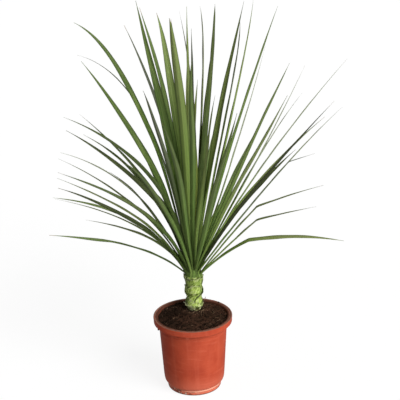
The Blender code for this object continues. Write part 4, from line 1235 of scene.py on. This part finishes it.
# %% [markdown]
# ### Crumbs and fibres
#
# Peat breaks into crumbs, bark chips and root fibres. A particle system could scatter them. Here all of them
# are one array: twenty-faced balls, each squashed, turned and dented by its own random numbers, and laid on
# the height field that made the soil.

# %% A twenty-faced ball
golden = (1.0 + math.sqrt(5.0)) / 2.0
ball = np.array([
    (-1, golden, 0), (1, golden, 0), (-1, -golden, 0), (1, -golden, 0), (0, -1, golden), (0, 1, golden),
    (0, -1, -golden), (0, 1, -golden), (golden, 0, -1), (golden, 0, 1), (-golden, 0, -1), (-golden, 0, 1)])
ball /= np.linalg.norm(ball[0])
ball_faces = np.array([
    (0, 11, 5), (0, 5, 1), (0, 1, 7), (0, 7, 10), (0, 10, 11), (1, 5, 9), (5, 11, 4), (11, 10, 2),
    (10, 7, 6), (7, 1, 8), (3, 9, 4), (3, 4, 2), (3, 2, 6), (3, 6, 8), (3, 8, 9), (4, 9, 5), (2, 4, 11),
    (6, 2, 10), (8, 6, 7), (9, 8, 1)])


def random_turns(count, draw):
    """A turning matrix for each of many pieces, from random unit quaternions."""
    q = draw.normal(size=(count, 4))
    w, i, j, k = (q / np.linalg.norm(q, axis=1)[:, None]).T
    rows = [
        [1 - 2 * (j * j + k * k), 2 * (i * j - k * w), 2 * (i * k + j * w)],
        [2 * (i * j + k * w), 1 - 2 * (i * i + k * k), 2 * (j * k - i * w)],
        [2 * (i * k - j * w), 2 * (j * k + i * w), 1 - 2 * (i * i + j * j)]]
    return np.moveaxis(np.array(rows), -1, 0)


def crumbs(places, sizes, draw):
    """Many dented balls: each is the ball times its three sizes and its dents, turned and then moved."""
    count = len(places)
    dents = draw.uniform(0.72, 1.2, (count, len(ball), 1))
    shapes = np.einsum("nij,nvj->nvi", random_turns(count, draw), ball[None] * dents * sizes[:, None])
    faces = ball_faces[None] + len(ball) * np.arange(count)[:, None, None]
    return shapes + places[:, None], faces.reshape(-1, 3)


# %% Scatter the crumbs
CRUMBS = 2600
CLEAR_OF_STEM = 0.0185
# One crumb lies on the lip at the back, and one chip sticks to the wall under the skirt on the left
STRAY_PLACES = [(0.0583, 0.0563, 0.1660), (-0.0738, -0.0392, 0.1505)]
STRAY_SIZES = [(0.0021, 0.0016, 0.0014), (0.0022, 0.0013, 0.0018)]
STRAY_TONES = [0.9, 0.9]

draw = np.random.default_rng(77)
reach = edge * 0.985 * np.sqrt(draw.uniform(0.0, 1.0, CRUMBS))
turn = draw.uniform(0.0, 2.0 * np.pi, CRUMBS)
crumb_x, crumb_y = reach * np.cos(turn), reach * np.sin(turn)
clear = np.hypot(crumb_x - STEM_X, crumb_y - STEM_Y) > CLEAR_OF_STEM
crumb_x, crumb_y = crumb_x[clear], crumb_y[clear]
size = 0.0005 + 0.0014 * draw.uniform(0.0, 1.0, len(crumb_x)) ** 3
sizes = size[:, None] * draw.uniform(0.6, 1.3, (len(crumb_x), 3))
inside = np.clip((edge - np.hypot(crumb_x, crumb_y)) / (2.0 * size), 0.0, 1.0)
sizes = np.vstack([sizes * np.maximum(inside, 0.3)[:, None], STRAY_SIZES])
crumb_z = soil_height(crumb_x, crumb_y) + 0.35 * size
places = np.vstack([np.stack([crumb_x, crumb_y, crumb_z], axis=1), STRAY_PLACES])
crumb_points, crumb_faces = crumbs(places, sizes, draw)
tones = np.repeat(np.append(draw.uniform(-0.4, 0.9, len(crumb_x)), STRAY_TONES), len(ball))
soil_crumbs = new_piece("soil_crumbs", crumb_points, crumb_faces, {"pit": tones})
place(soil_crumbs, earth_finish("peat_crumbs", CRUMB_BROWN, 0.55), "potting_mix")

# %% Root fibres that lie on the soil
FIBRES = 70
# The first ones lie close round the stem, and the others anywhere
FIBRES_BY_STEM = 30
FIBRE_ROWS, FIBRE_SIDES = 7, 4
FIBRE_POINTS = FIBRE_ROWS * FIBRE_SIDES
PALE_FIBRE = (0.300, 0.200, 0.125)
DARK_FIBRE = (0.090, 0.048, 0.028)

draw = np.random.default_rng(91)
reach = edge * 0.93 * np.sqrt(draw.uniform(0.06, 1.0, FIBRES))
reach[:FIBRES_BY_STEM] = draw.uniform(0.018, 0.030, FIBRES_BY_STEM)
turn = draw.uniform(0.0, 2.0 * np.pi, FIBRES)
by_stem = np.arange(FIBRES) < FIBRES_BY_STEM
middle_x = np.where(by_stem, STEM_X, 0.0) + reach * np.cos(turn)
middle_y = np.where(by_stem, STEM_Y, 0.0) + reach * np.sin(turn)
heading = draw.uniform(0.0, 2.0 * np.pi, FIBRES)[:, None]
long = draw.uniform(0.003, 0.009, FIBRES)[:, None]
bow = draw.uniform(-0.35, 0.35, FIBRES)[:, None]
s = np.linspace(-1.0, 1.0, FIBRE_ROWS)[None, :]
fibre_x = middle_x[:, None] + long * (s * np.cos(heading) - bow * s ** 2 * np.sin(heading))
fibre_y = middle_y[:, None] + long * (s * np.sin(heading) + bow * s ** 2 * np.cos(heading))
from_middle = np.maximum(np.hypot(fibre_x, fibre_y), 1e-6)
pull = np.minimum(1.0, (edge - 0.0015) / from_middle)
fibre_x, fibre_y = fibre_x * pull, fibre_y * pull
arched = 0.0008 * draw.uniform(0.0, 1.0, FIBRES)[:, None] * (1 - s ** 2)
fibre_z = soil_height(fibre_x, fibre_y) + 0.0009 + arched
angle = full_circle(FIBRE_SIDES)[None]
thin = (draw.uniform(0.00018, 0.00038, FIBRES)[:, None] * (1.0 - 0.5 * s ** 2))[..., None]
fibre_points = np.stack([
    fibre_x[..., None] - thin * np.cos(angle) * np.sin(heading)[..., None],
    fibre_y[..., None] + thin * np.cos(angle) * np.cos(heading)[..., None],
    fibre_z[..., None] + thin * np.sin(angle)], axis=-1)
last = FIBRE_POINTS - FIBRE_SIDES
tube = np.vstack([grid_faces(FIBRE_ROWS, FIBRE_SIDES), [[3, 2, 1, 0], [last, last + 1, last + 2, last + 3]]])
fibre_faces = (tube[None] + FIBRE_POINTS * np.arange(FIBRES)[:, None, None]).reshape(-1, 4)
fibre_tones = np.repeat(draw.uniform(-0.5, 0.3, FIBRES), FIBRE_POINTS)
peat_fibres = new_piece("peat_fibres", fibre_points, fibre_faces, {"pit": fibre_tones})
fibre_finish, tree, shader, where = new_finish("pale_fibre", 0.85, 0.10)
dress(tree, shader, layered(tree, DARK_FIBRE, (noise(tree, where, 160.0, 3.0), 0.35, 0.65, 1.0, PALE_FIBRE)))
place(peat_fibres, fibre_finish, "potting_mix")

# %% [markdown]
# ## Stage, light and camera
#
# The floor is plain and pale. One large soft light stands high on the right, as in the photograph, where the
# pot is bright on its right side and dark on its left. The floor itself is kept out of the light that
# bounces, because a white floor would fill that dark side. A weak light from below takes its place and lifts
# only the foot of the pot.

# %% The floor
FLOOR_REACH = 40
FLOOR_GLOW = 0.88
floor_mesh = bpy.data.meshes.new("floor")
floor_corners = [(FLOOR_REACH * x, FLOOR_REACH * y, 0) for x, y in ((-1, -1), (1, -1), (1, 1), (-1, 1))]
floor_mesh.from_pydata(floor_corners, [], [(0, 1, 2, 3)])
floor = put("floor", floor_mesh)
floor_finish, tree, shader, where = new_finish("pale_floor", 0.9, 0.1)
dress(tree, shader, tint(tree, noise(tree, where, 3.0), (0.15, 0.15, 0.15), (0.16, 0.16, 0.16)))
shader.inputs["Emission Color"].default_value = (1.0, 1.0, 1.0, 1.0)
shader.inputs["Emission Strength"].default_value = FLOOR_GLOW
floor.data.materials.append(floor_finish)
floor.visible_diffuse = False
floor.visible_glossy = False
floor.visible_shadow = False
print("floor:", 2 * FLOOR_REACH, "m square")


# %% The lights
def sun(name, azimuth, elevation, strength, spread):
    """A far light that shines from a compass turn and a height, both in degrees, and how soft it is."""
    light = bpy.data.lights.new(name, "SUN")
    light.energy = strength
    light.angle = math.radians(spread)
    turns = (math.radians(90.0 - elevation), 0.0, math.radians(azimuth + 90.0))
    put(name, light).rotation_euler = turns


sun("key light", -45.0, 34.0, 3.1, 40.0)
sun("floor bounce", -65.0, -55.0, 0.90, 80.0)
WORLD_STRENGTH = 0.23
world = bpy.data.worlds.new("studio")
bpy.context.scene.world = world
world.use_nodes = True
backdrop = world.node_tree.nodes["Background"]
backdrop.inputs["Color"].default_value = (1.0, 1.0, 1.0, 1.0)
backdrop.inputs["Strength"].default_value = WORLD_STRENGTH
bpy.context.scene.view_settings.view_transform = "Standard"

# %% The camera
CAMERA_PLACE = (0.0, -1.981, 1.121)
SENSOR_WIDTH, LENS = 36.0, 91.35
# The camera looks down by its pitch and aside by its pan, and is held a little crooked
PITCH, PAN, ROLL = np.radians([19.335, 0.625, 1.4])
forward = np.array([np.sin(PAN) * np.cos(PITCH), np.cos(PAN) * np.cos(PITCH), -np.sin(PITCH)])
level_right = np.array([np.cos(PAN), -np.sin(PAN), 0.0])
level_up = np.cross(level_right, forward)
right = level_right * np.cos(ROLL) - level_up * np.sin(ROLL)
upward = level_up * np.cos(ROLL) + level_right * np.sin(ROLL)
camera = put("camera", bpy.data.cameras.new("camera"))
camera.data.sensor_width = SENSOR_WIDTH
camera.data.lens = LENS
facing = Matrix((tuple(right), tuple(upward), tuple(-forward))).transposed().to_4x4()
camera.matrix_world = Matrix.Translation(CAMERA_PLACE) @ facing
bpy.context.scene.camera = camera
print("camera at", CAMERA_PLACE, "with a lens of", LENS, "mm")
